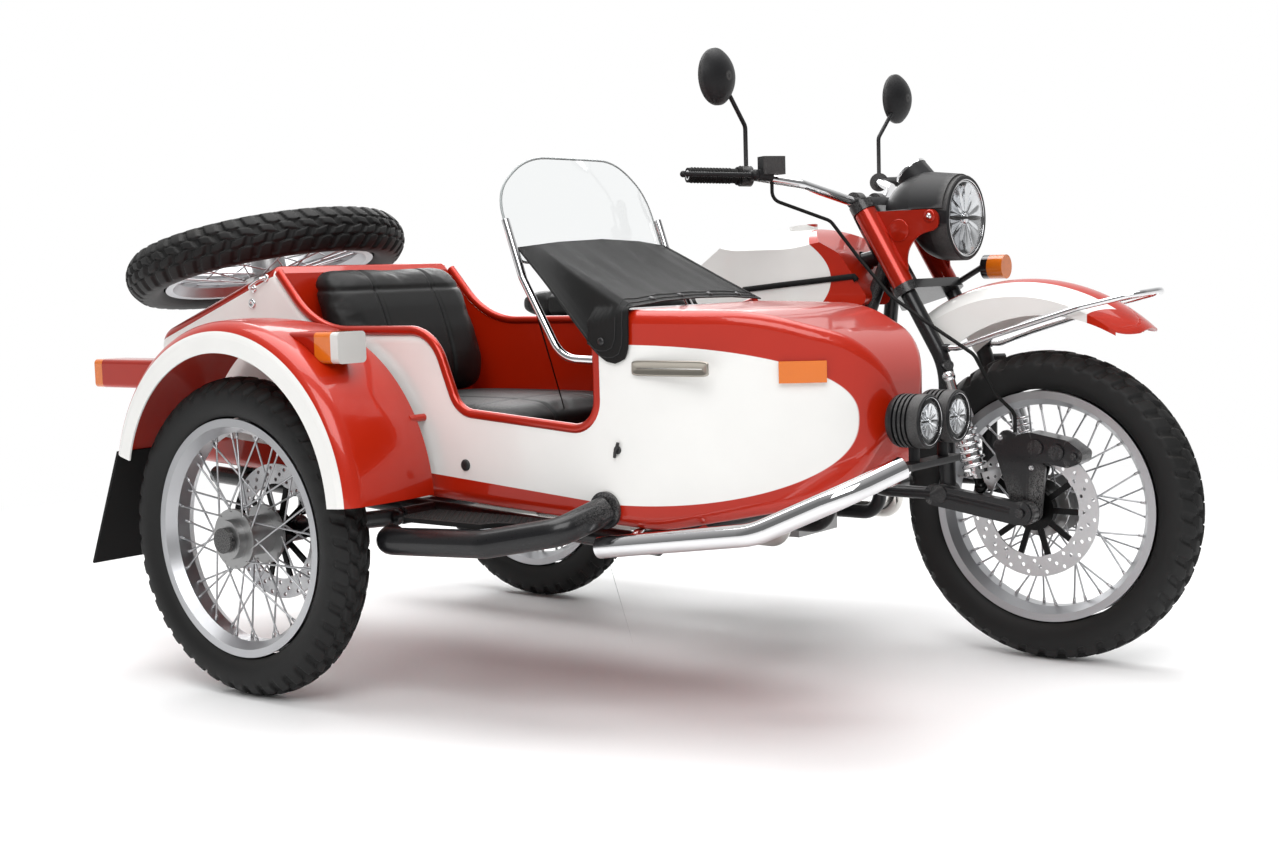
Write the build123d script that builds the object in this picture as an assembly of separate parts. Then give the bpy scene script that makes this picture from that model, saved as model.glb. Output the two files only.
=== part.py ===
"""Sidecar motorcycle: a flat-twin with a leading-link fork and a sidecar on its right side.

Millimetres. X points forward from the rear axle, Y to the rider's left from the motorcycle's
middle plane, Z up from the ground. Each piece is shifted at the end, so that the origin lies on
the ground under the middle of the whole outfit.
"""
import os
from math import cos, pi, radians, sin, sqrt

from build123d import *

# Layout of the outfit
WHEELBASE = 1500.0
TRACK = 1170.0
SIDECAR_LEAD = 205.0
ORIGIN_X = 630.6
ORIGIN_Y = -396.5
PLAY = 0.3

# Wheels, all four alike
TYRE_RADIUS = 342.0
TYRE_HALF_WIDTH = 52.0
TYRE_WIDEST_RADIUS = 298.0
SHOULDER_RADIUS = 325.0
SHOULDER_HALF_WIDTH = 43.0
RIM_HALF_WIDTH = 38.0
RIM_FLANGE_RADIUS = 255.0
RIM_BED_RADIUS = 238.0
RIM_WELL_RADIUS = 224.0
RIM_WELL_HALF_WIDTH = 16.0
RIM_WALL = 4.0
HUB_RADIUS = 42.0
HUB_HALF_WIDTH = 62.0
HUB_FLANGE_RADIUS = 64.0
HUB_FLANGE_HALF_GAUGE = 40.0
HUB_FLANGE_WALL = 7.0
SPOKES_PER_FLANGE = 20
SPOKE_RADIUS = 2.1
SPOKE_LEAN = 38.0
SPOKE_STAGGER = 3.0
SPOKE_RIM_OFFSET = 7.0
AXLE_RADIUS = 10.0
DISC_RADIUS = 147.0
DISC_INNER_RADIUS = 104.0
DISC_WALL = 5.0
DISC_OFFSET = 80.0
DISC_HOLE_RADIUS = 4.5
DISC_ARM_WIDTH = 13.0
DISC_ARMS = 10
DISC_BOSS_RADIUS = 46.0

# Steering axis and fork
RAKE = 30.0
STEER_X = 1056.0
STEER_Z = 985.0
STEM_RADIUS = 18.0
HEAD_RADIUS = 32.0
HEAD_TOP = -14.0
HEAD_BOTTOM = -196.0
YOKE_TOP = 0.0
YOKE_BOTTOM = -216.0
YOKE_WALL = 22.0
TUBE_AHEAD = 50.0
TUBE_HALF_GAUGE = 105.0
TUBE_RADIUS = 18.0
TUBE_BEND_RADIUS = 160.0
COVER_RADIUS = 25.0
LINK_PIVOT_X = 1305.0
LINK_PIVOT_Z = 372.0
LINK_HALF_GAUGE = 138.0
LINK_RADIUS = 14.0
LINK_LOOP_X = 1126.0
LINK_HALF_HEIGHT = 23.0
LINK_PLATE_HALF_WALL = 11.0
SHOCK_TOP_X = 1328.0
SHOCK_TOP_Z = 632.0
SHOCK_FOOT_X = 1402.0
SHOCK_EYE_RADIUS = 14.0
SPRING_RADIUS = 27.0
SPRING_WIRE = 4.5
CALIPER_HALF_WIDTH = 26.0
HOSE_RADIUS = 4.0
HOSE_FOOT_Z = 510.5
MASTER_RADIUS = 13.0

# Lamp, handlebar and front fender
LAMP_X = 1303.0
LAMP_Z = 980.0
LAMP_RADIUS = 95.0
LAMP_BACK_X = 1176.0
LAMP_LENS_RADIUS = 86.0
LAMP_EAR_X = 1264.0
COWL_BACK_X = 1118.0
DIAL_X = 1166.0
DIAL_Z = 1092.0
DIAL_TILT = 42.0
DIAL_RADIUS = 38.0
BAR_ALONG = 42.0
BAR_AHEAD = 16.0
BAR_RADIUS = 11.0
BAR_END_RADIUS = 8.0
BAR_END_DEPTH = 60.0
GRIP_RADIUS = 16.5
GRIP_LENGTH = 125.0
MIRROR_RADIUS = 62.0
MIRROR_BOWL = -16.0
FRONT_FENDER_X = 1453.0
FRONT_FENDER_Z = 421.0
FRONT_FENDER_RADIUS = 420.0
FRONT_FENDER_HALF_WIDTH = 82.0
FRONT_FENDER_TIP = 48.0
FRONT_FENDER_TAIL = 124.0
FENDER_WALL = 3.0
RAIL_RADIUS = 6.5

# Motorcycle
FRAME_TUBE_RADIUS = 17.0
CRADLE_HALF_WIDTH = 120.0
CRADLE_Z = 275.0
SEAT_RAIL_HALF_WIDTH = 100.0
SEAT_RAIL_Z = 742.0
UPRIGHT_X = 415.0
REAR_FENDER_RADIUS = 425.0
REAR_FENDER_HALF_WIDTH = 82.0
CYLINDER_X = 840.0
CYLINDER_Z = 440.0
CRANKCASE_HALF_WIDTH = 116.0
SWING_PIVOT_X = 372.0
SWING_HALF_GAUGE = 127.0
SWING_RADIUS = 20.0
SWING_PIN_RADIUS = 13.0
SILENCER_RADIUS = 44.0
SILENCER_Y = 228.0
SILENCER_Z = 268.0
SEAT_LENGTH = 575.0
SEAT_HALF_WIDTH = 135.0
SEAT_THICKNESS = 64.0
SEAT_REAR_X = 30.0
SEAT_LOW_Z = TYRE_RADIUS + (REAR_FENDER_RADIUS ** 2 - (SEAT_REAR_X + 8.0) ** 2) ** 0.5 + PLAY
SEAT_LUGS = (60.0, 500.0)
ENGINE_REST_X = 520.0
ENGINE_LOW_Z = 292.3
TANK_HALF_WIDTH = 145.0
TANK_NECK_HALF_WIDTH = 78.0
TANK_TOP_Z = 966.0
TANK_FLOOR_Z = 786.0

# Sidecar body
BODY_LEFT_Y = -425.0
BODY_TO_WHEEL = 185.0
BODY_HALF_WIDTH = (TRACK - BODY_TO_WHEEL + BODY_LEFT_Y) / 2
BODY_Y = BODY_LEFT_Y - BODY_HALF_WIDTH
BODY_RIGHT_Y = BODY_Y - BODY_HALF_WIDTH
BODY_WALL = 12.0
BODY_TAIL_X = -322.0
BODY_NOSE_X = 1546.0
BODY_NOSE_START_X = 1040.0
NOSE_TURN = BODY_HALF_WIDTH / 7.0
BODY_EDGE_RADIUS = 26.0
BULKHEAD_TOP_X = 112.0
BULKHEAD_FOOT_X = 215.0
BULKHEAD_FOOT_Z = 430.0
BULKHEAD_WALL = 20.0
PLINTH_Z = 519.5
FLOOR_TAIL_Z = 470.0
FLOOR_NOSE_X = 1150.0
FLOOR_NOSE_Z = 391.0
DECK_X = 1020.0
DECK_Z = 812.0
LID_FRONT_X = 100.0
LID_FRONT_Z = 916.0
LID_TAIL_Z = 768.0
LID_WALL = 22.0
RIM_TUBE_RADIUS = 10.0
SILL_Z = 581.0
SADDLE_RIM_Z = 772.0
HINGE_RADIUS = 7.0
HINGE_STATIONS = (BODY_Y - 155.0, BODY_Y + 155.0)
SPARE_X = -246.0
SPARE_Z = 934.0
SPARE_PITCH = 13.0

# Sidecar running gear and trim
SIDE_TUBE_RADIUS = 20.0
SIDE_CROSS_RADIUS = 17.0
SIDE_TUBE_DROP = 36.0
SIDE_RIGHT_Y = BODY_RIGHT_Y + 55.0
SIDE_LEFT_Y = BODY_LEFT_Y - 25.0
SIDE_ARM_Y = -TRACK + 125.0
SIDE_PIVOT_X = 524.0
FENDER_X = 225.0
FENDER_Z = 416.0
FENDER_RADIUS = 390.0
FENDER_OUTER_Y = -TRACK - 85.0
FENDER_INNER_Y = -TRACK + 160.0
FENDER_LIP = 62.0
FENDER_FRONT = 3.0
FENDER_REAR = 165.0
FENDER_LAMP_HALF_WIDTH = 38.0
FRONT_LAMP_Z = (714.0, 778.0)
REAR_LAMP_Z = (652.0, 716.0)
BUMPER_RADIUS = 21.0
BUMPER_STAYS = (1104.0, 1236.0)
STEP_RADIUS = 28.0
STEP_PAD_Z = 395.7
STEP_Y = -TRACK + 42.0
SCREEN_HALF_WIDTH = BODY_HALF_WIDTH - 34.0
SCREEN_X = 812.0
SCREEN_Z = 935.0
SCREEN_BOW = 26.0
SCREEN_LEAN = 19.0
SCREEN_FOOT_Z = 905.0
SCREEN_TOP_Z = 1120.0
SCREEN_DROP = 74.0
SCREEN_WALL = 4.0
TONNEAU_HEM_X = 1094.0
STAY_HALF_GAUGE = BODY_HALF_WIDTH - 28.0
FOG_X = 1630.0
FOG_Z = 600.0
FOG_RADIUS = 49.0
FOG_GROOVES = (1572.0, 1581.0, 1590.0, 1599.0)
FOG_STATIONS = (BODY_Y - 80.0, BODY_Y + 30.0)

SIDES = (1, -1)
TURN = Rot(90, 0, 0)
FRONT_HUB = Pos(WHEELBASE, 0, TYRE_RADIUS)
REAR_HUB = Pos(0, 0, TYRE_RADIUS)
CALIPER_PLACE = Pos(WHEELBASE + 44.0, -86.0, TYRE_RADIUS + 134.0) * Rot(0, 10, 0)
SIDECAR_HUB = Pos(SIDECAR_LEAD, -TRACK, TYRE_RADIUS)


def rod(start, end, radius):
    """Round bar between two points."""
    base = Vector(*start)
    axis = Vector(*end) - base
    return Part() + Solid.make_cylinder(radius, axis.length, Plane(origin=base, z_dir=axis))


def bent_tube(points, radius, bend):
    """Round bar along straight runs joined by arcs of one bend radius."""
    path = FilletPolyline(*points, radius=bend)
    return sweep(Plane(origin=path @ 0, z_dir=path % 0) * Circle(radius), path=path)


def outline(rows):
    """Closed face from rows of (across, up, corner radius)."""
    points = [(across, up) for across, up, corner in rows]
    corners = [corner for across, up, corner in rows]
    return make_face(FilletPolyline(*points, radius=corners, close=True))


def side_prism(face, left, right):
    """Face drawn in X and Z, made solid from the left Y to the right Y."""
    return extrude(Plane.XZ.offset(-left) * face, left - right)


def box(x_range, y_range, z_range):
    """Block between two limits on each axis."""
    size = [high - low for low, high in (x_range, y_range, z_range)]
    middle = [(high + low) / 2 for low, high in (x_range, y_range, z_range)]
    return Pos(*middle) * Box(*size)


def turned(face):
    """Face drawn as (radius, distance along the axis), turned about Z."""
    return revolve(Plane.XZ * face, Axis.Z)


def both(maker):
    """The same piece made for the left side and for the right side."""
    return Compound(children=[solid for side in SIDES for solid in maker(side).solids()])


def steer(along, across=0.0, ahead=0.0):
    """Point given along the steering axis, to the left of it and ahead of it."""
    lean = radians(RAKE)
    x = STEER_X - along * sin(lean) + ahead * cos(lean)
    z = STEER_Z + along * cos(lean) + ahead * sin(lean)
    return (x, across, z)


def floor_z(x):
    """Height of the sidecar body's underside at a station."""
    slope = (FLOOR_NOSE_Z - FLOOR_TAIL_Z) / (FLOOR_NOSE_X - BODY_TAIL_X)
    return FLOOR_TAIL_Z + (x - BODY_TAIL_X) * slope


def tyre():
    """Tyre about Z with bulging walls and a rounded crown."""
    bead = RIM_HALF_WIDTH - RIM_WALL - PLAY
    seat = RIM_BED_RADIUS + RIM_WALL + PLAY
    collar = RIM_FLANGE_RADIUS + 3.0
    right_wall = ThreePointArc(
        (collar, bead), (TYRE_WIDEST_RADIUS, TYRE_HALF_WIDTH), (SHOULDER_RADIUS, SHOULDER_HALF_WIDTH))
    left_wall = ThreePointArc(
        (SHOULDER_RADIUS, -SHOULDER_HALF_WIDTH), (TYRE_WIDEST_RADIUS, -TYRE_HALF_WIDTH), (collar, -bead))
    crown = ThreePointArc(
        (SHOULDER_RADIUS, SHOULDER_HALF_WIDTH), (TYRE_RADIUS, 0), (SHOULDER_RADIUS, -SHOULDER_HALF_WIDTH))
    foot = Polyline((collar, -bead), (seat, -bead), (seat, bead), (collar, bead))
    return turned(make_face([right_wall, crown, left_wall, foot]))


def rim():
    """Channel rim about Z."""
    wall = RIM_WALL
    edge = RIM_HALF_WIDTH
    well = RIM_WELL_HALF_WIDTH
    half = [
        (RIM_FLANGE_RADIUS, edge - wall), (RIM_FLANGE_RADIUS, edge), (RIM_BED_RADIUS, edge),
        (RIM_WELL_RADIUS, well),
    ]
    inner = [(RIM_WELL_RADIUS + wall, well - 1.0), (RIM_BED_RADIUS + wall, edge - wall)]
    lower = half + [(r, -z) for r, z in reversed(half)]
    upper = [(r, -z) for r, z in reversed(inner)] + inner
    return turned(make_face(Polyline(*lower, *upper, close=True)))


def hub():
    """Hub about Z with two spoke flanges and a bore for the axle."""
    body = Cylinder(HUB_RADIUS, 2 * HUB_HALF_WIDTH)
    flange = Cylinder(HUB_FLANGE_RADIUS, HUB_FLANGE_WALL)
    for side in SIDES:
        body += Pos(0, 0, side * HUB_FLANGE_HALF_GAUGE) * flange
    return body - Cylinder(AXLE_RADIUS + PLAY, 2 * HUB_HALF_WIDTH)


def spoke(index, side):
    """One spoke from a hub flange to the well of the rim."""
    lean = 1 if index % 2 else -1
    rim_angle = 2 * pi * (index + 0.25 * side) / SPOKES_PER_FLANGE
    hub_angle = rim_angle - radians(lean * SPOKE_LEAN)
    hub_reach = HUB_FLANGE_RADIUS - 5.0
    rim_reach = RIM_WELL_RADIUS + RIM_WALL / 2
    start_z = side * (HUB_FLANGE_HALF_GAUGE + lean * SPOKE_STAGGER)
    start = (hub_reach * cos(hub_angle), hub_reach * sin(hub_angle), start_z)
    end = (rim_reach * cos(rim_angle), rim_reach * sin(rim_angle), side * SPOKE_RIM_OFFSET)
    return rod(start, end, SPOKE_RADIUS)


def wire_wheel():
    """Rim, hub and spokes about Z."""
    spokes = [spoke(index, side) for side in SIDES for index in range(SPOKES_PER_FLANGE)]
    return rim() + [hub()] + spokes


def brake_disc():
    """Drilled disc about Z, on arms from a boss beside the hub."""
    low = DISC_OFFSET - DISC_WALL / 2
    middle = Pos(0, 0, DISC_OFFSET)
    ring = middle * (Cylinder(DISC_RADIUS, DISC_WALL) - Cylinder(DISC_INNER_RADIUS, DISC_WALL))
    rows = ((113.0, 0.0), (125.5, 6.0), (138.0, 12.0))
    holes = [
        Pos(0, 0, DISC_OFFSET) * Rot(0, 0, 18.0 * step + turn) * Pos(reach, 0, 0)
        * Cylinder(DISC_HOLE_RADIUS, 2 * DISC_WALL)
        for reach, turn in rows for step in range(20)
    ]
    ring -= holes
    reach = (DISC_INNER_RADIUS + 4.0 + DISC_BOSS_RADIUS) / 2
    length = DISC_INNER_RADIUS + 8.0 - DISC_BOSS_RADIUS
    arms = [
        middle * Rot(0, 0, 360.0 * step / DISC_ARMS) * Pos(reach, 0, 0) * Box(length, DISC_ARM_WIDTH, DISC_WALL)
        for step in range(DISC_ARMS)
    ]
    boss_height = DISC_OFFSET + DISC_WALL / 2 - HUB_HALF_WIDTH - PLAY
    boss = Pos(0, 0, DISC_OFFSET + DISC_WALL / 2 - boss_height / 2) * Cylinder(DISC_BOSS_RADIUS, boss_height)
    bore = Pos(0, 0, low) * Cylinder(AXLE_RADIUS + 8.0, 4 * boss_height)
    return (ring + arms + [boss]) - bore


def shock(foot, top, spring_radius):
    """Coil-over damper with a round eye at each end."""
    base = Vector(*foot)
    axis = Vector(*top) - base
    length = axis.length
    coils = int((length - 110.0) / (3.2 * SPRING_WIRE))
    pitch = (length - 110.0) / coils
    damper = Pos(0, 0, length / 2) * Cylinder(11.0, length)
    damper += Pos(0, 0, length - 70.0) * Cylinder(spring_radius + 1.0, 60.0)
    damper += Pos(0, 0, 34.0) * Cylinder(spring_radius, 8.0)
    core = Pos(0, 0, length / 2) * Cylinder(spring_radius - 1.5 * SPRING_WIRE, length - 90.0)
    eyes = [Sphere(SHOCK_EYE_RADIUS), Pos(0, 0, length) * Sphere(SHOCK_EYE_RADIUS)]
    rings = [
        Pos(0, 0, 42.0 + pitch * (step + 0.5)) * Torus(spring_radius - SPRING_WIRE, SPRING_WIRE)
        for step in range(coils - 3)
    ]
    return Plane(origin=base, z_dir=axis) * (damper + core + eyes + rings)


def fender_section(radius, half_width, depth, wall):
    """Inverted channel with a crowned top, drawn as (radius, across)."""
    edge = radius - 0.45 * half_width
    inner = half_width - wall
    outer_arc = ThreePointArc((edge, -half_width), (radius, 0), (edge, half_width))
    inner_arc = ThreePointArc((edge, inner), (radius - wall, 0), (edge, -inner))
    foot = radius - depth
    right = Polyline((edge, half_width), (foot, half_width), (foot, inner), (edge, inner))
    left = Polyline((edge, -inner), (foot, -inner), (foot, -half_width), (edge, -half_width))
    return make_face([outer_arc, right, inner_arc, left])


def arch(section, x, z, start, end):
    """Section drawn as (radius, across) swept round a crosswise axis between two angles."""
    solid = revolve(Plane.XZ * section, Axis.Z, end - start)
    return Pos(x, 0, z) * Rot(90, 0, 0) * Rot(0, 0, start) * solid


def front_fork():
    """Stem, two yokes, two bent tubes and the bosses for link, shocks, rail and turn signal."""
    stem = rod(steer(YOKE_BOTTOM), steer(YOKE_TOP), STEM_RADIUS)
    pieces = []
    for along in (YOKE_TOP, YOKE_BOTTOM):
        plane = Plane(origin=steer(along - YOKE_WALL / 2), x_dir=(0, 1, 0), z_dir=_steer_up())
        half = TUBE_HALF_GAUGE
        arms = make_hull([
            *(Pos(-half, TUBE_AHEAD) * Circle(COVER_RADIUS + 4.0)).edges(),
            *(Pos(half, TUBE_AHEAD) * Circle(COVER_RADIUS + 4.0)).edges(),
            *Circle(HEAD_RADIUS).edges(),
        ])
        pieces.append(extrude(plane * _face_up(arms), YOKE_WALL))
    bend = _tube_bend()
    for side in SIDES:
        gauge = side * TUBE_HALF_GAUGE
        top = steer(YOKE_TOP + YOKE_WALL / 2 + 6.0, gauge, TUBE_AHEAD)
        points = [top, (bend[0], gauge, bend[1]), (LINK_PIVOT_X, gauge, LINK_PIVOT_Z)]
        pieces.append(bent_tube(points, TUBE_RADIUS, TUBE_BEND_RADIUS))
        inner = side * (TUBE_HALF_GAUGE - TUBE_RADIUS)
        outer = side * (LINK_HALF_GAUGE - LINK_RADIUS - PLAY)
        pieces.append(rod((LINK_PIVOT_X, inner, LINK_PIVOT_Z), (LINK_PIVOT_X, outer, LINK_PIVOT_Z), 23.0))
        lug = (SHOCK_TOP_X, side * LINK_HALF_GAUGE, SHOCK_TOP_Z + SHOCK_EYE_RADIUS + 11.0)
        pieces.append(rod((LINK_PIVOT_X - 6.0, gauge, lug[2]), lug, 11.0))
        pieces.append(rod((bend[0] - 24.0, gauge, 693.0), (1312.0, gauge, 693.0), 9.0))
    signal = (1272.0, 140.0, 868.0)
    pieces.append(rod(steer(YOKE_BOTTOM, TUBE_HALF_GAUGE, TUBE_AHEAD), signal, 7.0))
    pieces.append(rod(signal, (1279.7, 140.0, 868.0), 7.0))
    pieces.append(Pos(*signal) * Sphere(7.0))
    for side in SIDES:
        clamp = steer(BAR_ALONG, side * 48.0, BAR_AHEAD)
        foot = steer(YOKE_TOP, side * 48.0, BAR_AHEAD)
        post = rod(foot, clamp, 15.0)
        collar = rod((clamp[0], clamp[1] - 14.0, clamp[2]), (clamp[0], clamp[1] + 14.0, clamp[2]), 19.0)
        bore = rod((clamp[0], -90.0, clamp[2]), (clamp[0], 90.0, clamp[2]), BAR_RADIUS + PLAY)
        pieces.append(post + collar - bore)
    return stem + pieces


def _steer_up():
    """Upward direction of the steering axis."""
    lean = radians(RAKE)
    return Vector(-sin(lean), 0, cos(lean))


def _steer_ahead():
    """Forward direction square to the steering axis."""
    lean = radians(RAKE)
    return Vector(cos(lean), 0, sin(lean))


def _face_up(sketch):
    """Sketch whose second axis points ahead of the steering axis."""
    return mirror(sketch, about=Plane.XZ)


def _tube_bend():
    """Side-view corner where the raked fork tube turns to run straight down."""
    x, _, z = steer(0.0, 0.0, TUBE_AHEAD)
    lean = radians(RAKE)
    return (LINK_PIVOT_X, z - (LINK_PIVOT_X - x) * cos(lean) / sin(lean))


def fork_cover(side):
    """Sleeve over the upper fork tube with the ear that holds the headlamp."""
    gauge = side * TUBE_HALF_GAUGE
    top = steer(YOKE_TOP - YOKE_WALL / 2 - PLAY, gauge, TUBE_AHEAD)
    foot = steer(YOKE_BOTTOM + YOKE_WALL / 2 + PLAY, gauge, TUBE_AHEAD)
    sleeve = rod(foot, top, COVER_RADIUS)
    rows = (
        (1150.0, 880.0, 4.0), (1190.0, 836.0, 4.0), (1212.0, 842.0, 6.0), (1206.0, 938.0, 62.0),
        (LAMP_EAR_X + 24.0, LAMP_Z - 24.0, 20.0), (LAMP_EAR_X + 24.0, LAMP_Z + 20.0, 20.0),
        (1108.0, LAMP_Z + 20.0, 6.0),
    )
    outer = LAMP_RADIUS + 8.0
    inner = LAMP_RADIUS + 3.0
    left, right = (outer, inner) if side > 0 else (-inner, -outer)
    ear = side_prism(outline(rows), left, right)
    limit = Plane(origin=steer(YOKE_TOP - YOKE_WALL / 2 - PLAY), z_dir=_steer_up())
    ear = split(ear, limit, keep=Keep.BOTTOM)
    core = rod(steer(-400.0, gauge, TUBE_AHEAD), steer(100.0, gauge, TUBE_AHEAD), TUBE_RADIUS + PLAY)
    return sleeve + ear - core


def leading_link():
    """Loop that carries the front axle ahead of the fork, with the axle and its spacers."""
    axle = WHEELBASE, TYRE_RADIUS
    points = [
        (axle[0], LINK_HALF_GAUGE, axle[1]), (LINK_PIVOT_X, LINK_HALF_GAUGE, LINK_PIVOT_Z),
        (LINK_LOOP_X, LINK_HALF_GAUGE, LINK_PIVOT_Z), (LINK_LOOP_X, -LINK_HALF_GAUGE, LINK_PIVOT_Z),
        (LINK_PIVOT_X, -LINK_HALF_GAUGE, LINK_PIVOT_Z), (axle[0], -LINK_HALF_GAUGE, axle[1]),
    ]
    loop = bent_tube(points, LINK_RADIUS, 55.0)
    spindle = rod((axle[0], -LINK_HALF_GAUGE - 20.0, axle[1]), (axle[0], LINK_HALF_GAUGE + 20.0, axle[1]), AXLE_RADIUS)
    clamps = [
        rod((axle[0], side * (LINK_HALF_GAUGE - LINK_RADIUS), axle[1]),
            (axle[0], side * (LINK_HALF_GAUGE + LINK_RADIUS), axle[1]), 25.0)
        for side in SIDES
    ]
    left_spacer = rod((axle[0], HUB_HALF_WIDTH + PLAY, axle[1]), (axle[0], LINK_HALF_GAUGE, axle[1]), 17.0)
    right_spacer = rod((axle[0], -DISC_OFFSET - DISC_WALL, axle[1]), (axle[0], -98.0, axle[1]), 17.0)
    bosses = [
        rod((LINK_PIVOT_X, side * (LINK_HALF_GAUGE - LINK_RADIUS), LINK_PIVOT_Z),
            (LINK_PIVOT_X, side * (LINK_HALF_GAUGE + LINK_RADIUS), LINK_PIVOT_Z), 20.0)
        for side in SIDES
    ]
    plates = []
    for side in SIDES:
        plate_rows = (
            (LINK_PIVOT_X - 34.0, LINK_PIVOT_Z - LINK_HALF_HEIGHT, 18.0),
            (axle[0] - 10.0, axle[1] - LINK_HALF_HEIGHT - 4.0, 20.0), (axle[0] + 32.0, axle[1] - LINK_HALF_HEIGHT, 22.0),
            (axle[0] + 32.0, axle[1] + LINK_HALF_HEIGHT, 22.0), (axle[0] - 10.0, axle[1] + LINK_HALF_HEIGHT, 20.0),
            (LINK_PIVOT_X - 34.0, LINK_PIVOT_Z + LINK_HALF_HEIGHT, 18.0),
        )
        near = side * (LINK_HALF_GAUGE - LINK_PLATE_HALF_WALL)
        far = side * (LINK_HALF_GAUGE + LINK_PLATE_HALF_WALL)
        plates.append(side_prism(outline(plate_rows), max(near, far), min(near, far)))
    return loop + [spindle, left_spacer, right_spacer] + clamps + bosses + plates


def front_shock(side):
    """Front coil-over standing on the leading link."""
    share = (SHOCK_FOOT_X - LINK_PIVOT_X + 34.0) / (WHEELBASE - LINK_PIVOT_X + 24.0)
    plate_z = LINK_PIVOT_Z + share * (TYRE_RADIUS - LINK_PIVOT_Z) + LINK_HALF_HEIGHT
    foot = (SHOCK_FOOT_X, side * LINK_HALF_GAUGE, plate_z + SHOCK_EYE_RADIUS + 0.5)
    top = (SHOCK_TOP_X, side * LINK_HALF_GAUGE, SHOCK_TOP_Z)
    return shock(foot, top, SPRING_RADIUS)


def brake_caliper():
    """Caliper astride the front disc, on a plate hung from the axle."""
    bracket_rows = (
        (WHEELBASE - 28.0, TYRE_RADIUS - 24.0, 20.0), (WHEELBASE + 26.0, TYRE_RADIUS - 24.0, 20.0),
        (WHEELBASE + 38.0, TYRE_RADIUS + 96.0, 14.0), (WHEELBASE - 2.0, TYRE_RADIUS + 150.0, 14.0),
        (WHEELBASE - 58.0, TYRE_RADIUS + 178.0, 16.0), (WHEELBASE - 84.0, TYRE_RADIUS + 140.0, 16.0),
    )
    bracket = side_prism(outline(bracket_rows), -98.3, -108.0)
    bracket -= rod((WHEELBASE, -120.0, TYRE_RADIUS), (WHEELBASE, -90.0, TYRE_RADIUS), AXLE_RADIUS + PLAY)
    body_rows = (
        (-78.0, -22.0, 14.0), (-40.0, -30.0, 20.0), (52.0, -28.0, 20.0), (80.0, -10.0, 12.0), (80.0, 12.0, 12.0),
        (40.0, 30.0, 18.0), (-46.0, 30.0, 18.0), (-78.0, 16.0, 14.0),
    )
    body = side_prism(outline(body_rows), CALIPER_HALF_WIDTH, -CALIPER_HALF_WIDTH)
    body = CALIPER_PLACE * body
    bolts = [
        CALIPER_PLACE * rod((x, -CALIPER_HALF_WIDTH, 0.0), (x, -CALIPER_HALF_WIDTH - 5.0, 0.0), radius)
        for x, radius in ((-26.0, 17.0), (22.0, 17.0), (62.0, 7.0))
    ]
    slot = FRONT_HUB * TURN * Pos(0, 0, DISC_OFFSET) * Cylinder(DISC_RADIUS + 6.0, DISC_WALL + 5.0)
    return body + [bracket] + bolts - slot


def brake_hose():
    """Hose from the master cylinder past the fork to the caliper."""
    top = master_place() - Vector(0, 0, MASTER_RADIUS + PLAY)
    points = [
        tuple(top), (top.X, top.Y, top.Z - 40.0), (1056.0, -176.0, 982.0), (1110.0, -150.0, 900.0),
        (1190.0, -148.0, 812.0), (1300.0, -182.0, 752.0), (1413.0, -186.0, 684.0), (1447.0, -160.0, 600.0),
        (1466.0, -101.0, 552.0), (1466.0, -101.0, HOSE_FOOT_Z),
    ]
    return bent_tube(points, HOSE_RADIUS, 26.0)


def bar_tube(radius):
    """Solid run of the handlebar with its ends swept back."""
    x, _, z = steer(BAR_ALONG, 0.0, BAR_AHEAD)
    left = [(x, 84.0, z), (1000.0, 205.0, 1066.0), (922.0, 283.0, 1086.0), (838.0, 420.0, 1090.0)]
    right = [(px, -py, pz) for px, py, pz in reversed(left)]
    return bent_tube(right + left, radius, 34.0)


def handlebar():
    """Bar with a bore in each end."""
    bar = bar_tube(BAR_RADIUS)
    for side in SIDES:
        tip, run = _grip_frame(side, 0.0)
        bar -= rod(tuple(tip - run * BAR_END_DEPTH), tuple(tip + run * 5.0), BAR_END_RADIUS)
    return bar


def _grip_frame(side, distance):
    """Point on the bar's end run, measured inward from its tip, and the run's direction outward."""
    tip = Vector(838.0, side * 420.0, 1090.0)
    inner = Vector(922.0, side * 283.0, 1086.0)
    run = (tip - inner).normalized()
    return tip - run * distance, run


def hand_grip(side):
    """Rubber sleeve on the bar's end, open at both ends."""
    tip, run = _grip_frame(side, 0.0)
    inner = tip - run * GRIP_LENGTH
    sleeve = rod(tuple(inner), tuple(tip), GRIP_RADIUS)
    return sleeve - rod(tuple(inner - run * 5.0), tuple(tip + run * 5.0), BAR_RADIUS + PLAY)


def _bar_ahead(side, run):
    """Level direction ahead of the bar's end run."""
    return Vector(0, 0, 1).cross(run) * (-side)


def master_place():
    """Inner end of the brake's master cylinder, ahead of the right end of the bar."""
    inner, run = _grip_frame(-1, GRIP_LENGTH + 28.0)
    return inner - run * 34.0 + _bar_ahead(-1, run) * 40.0


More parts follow.
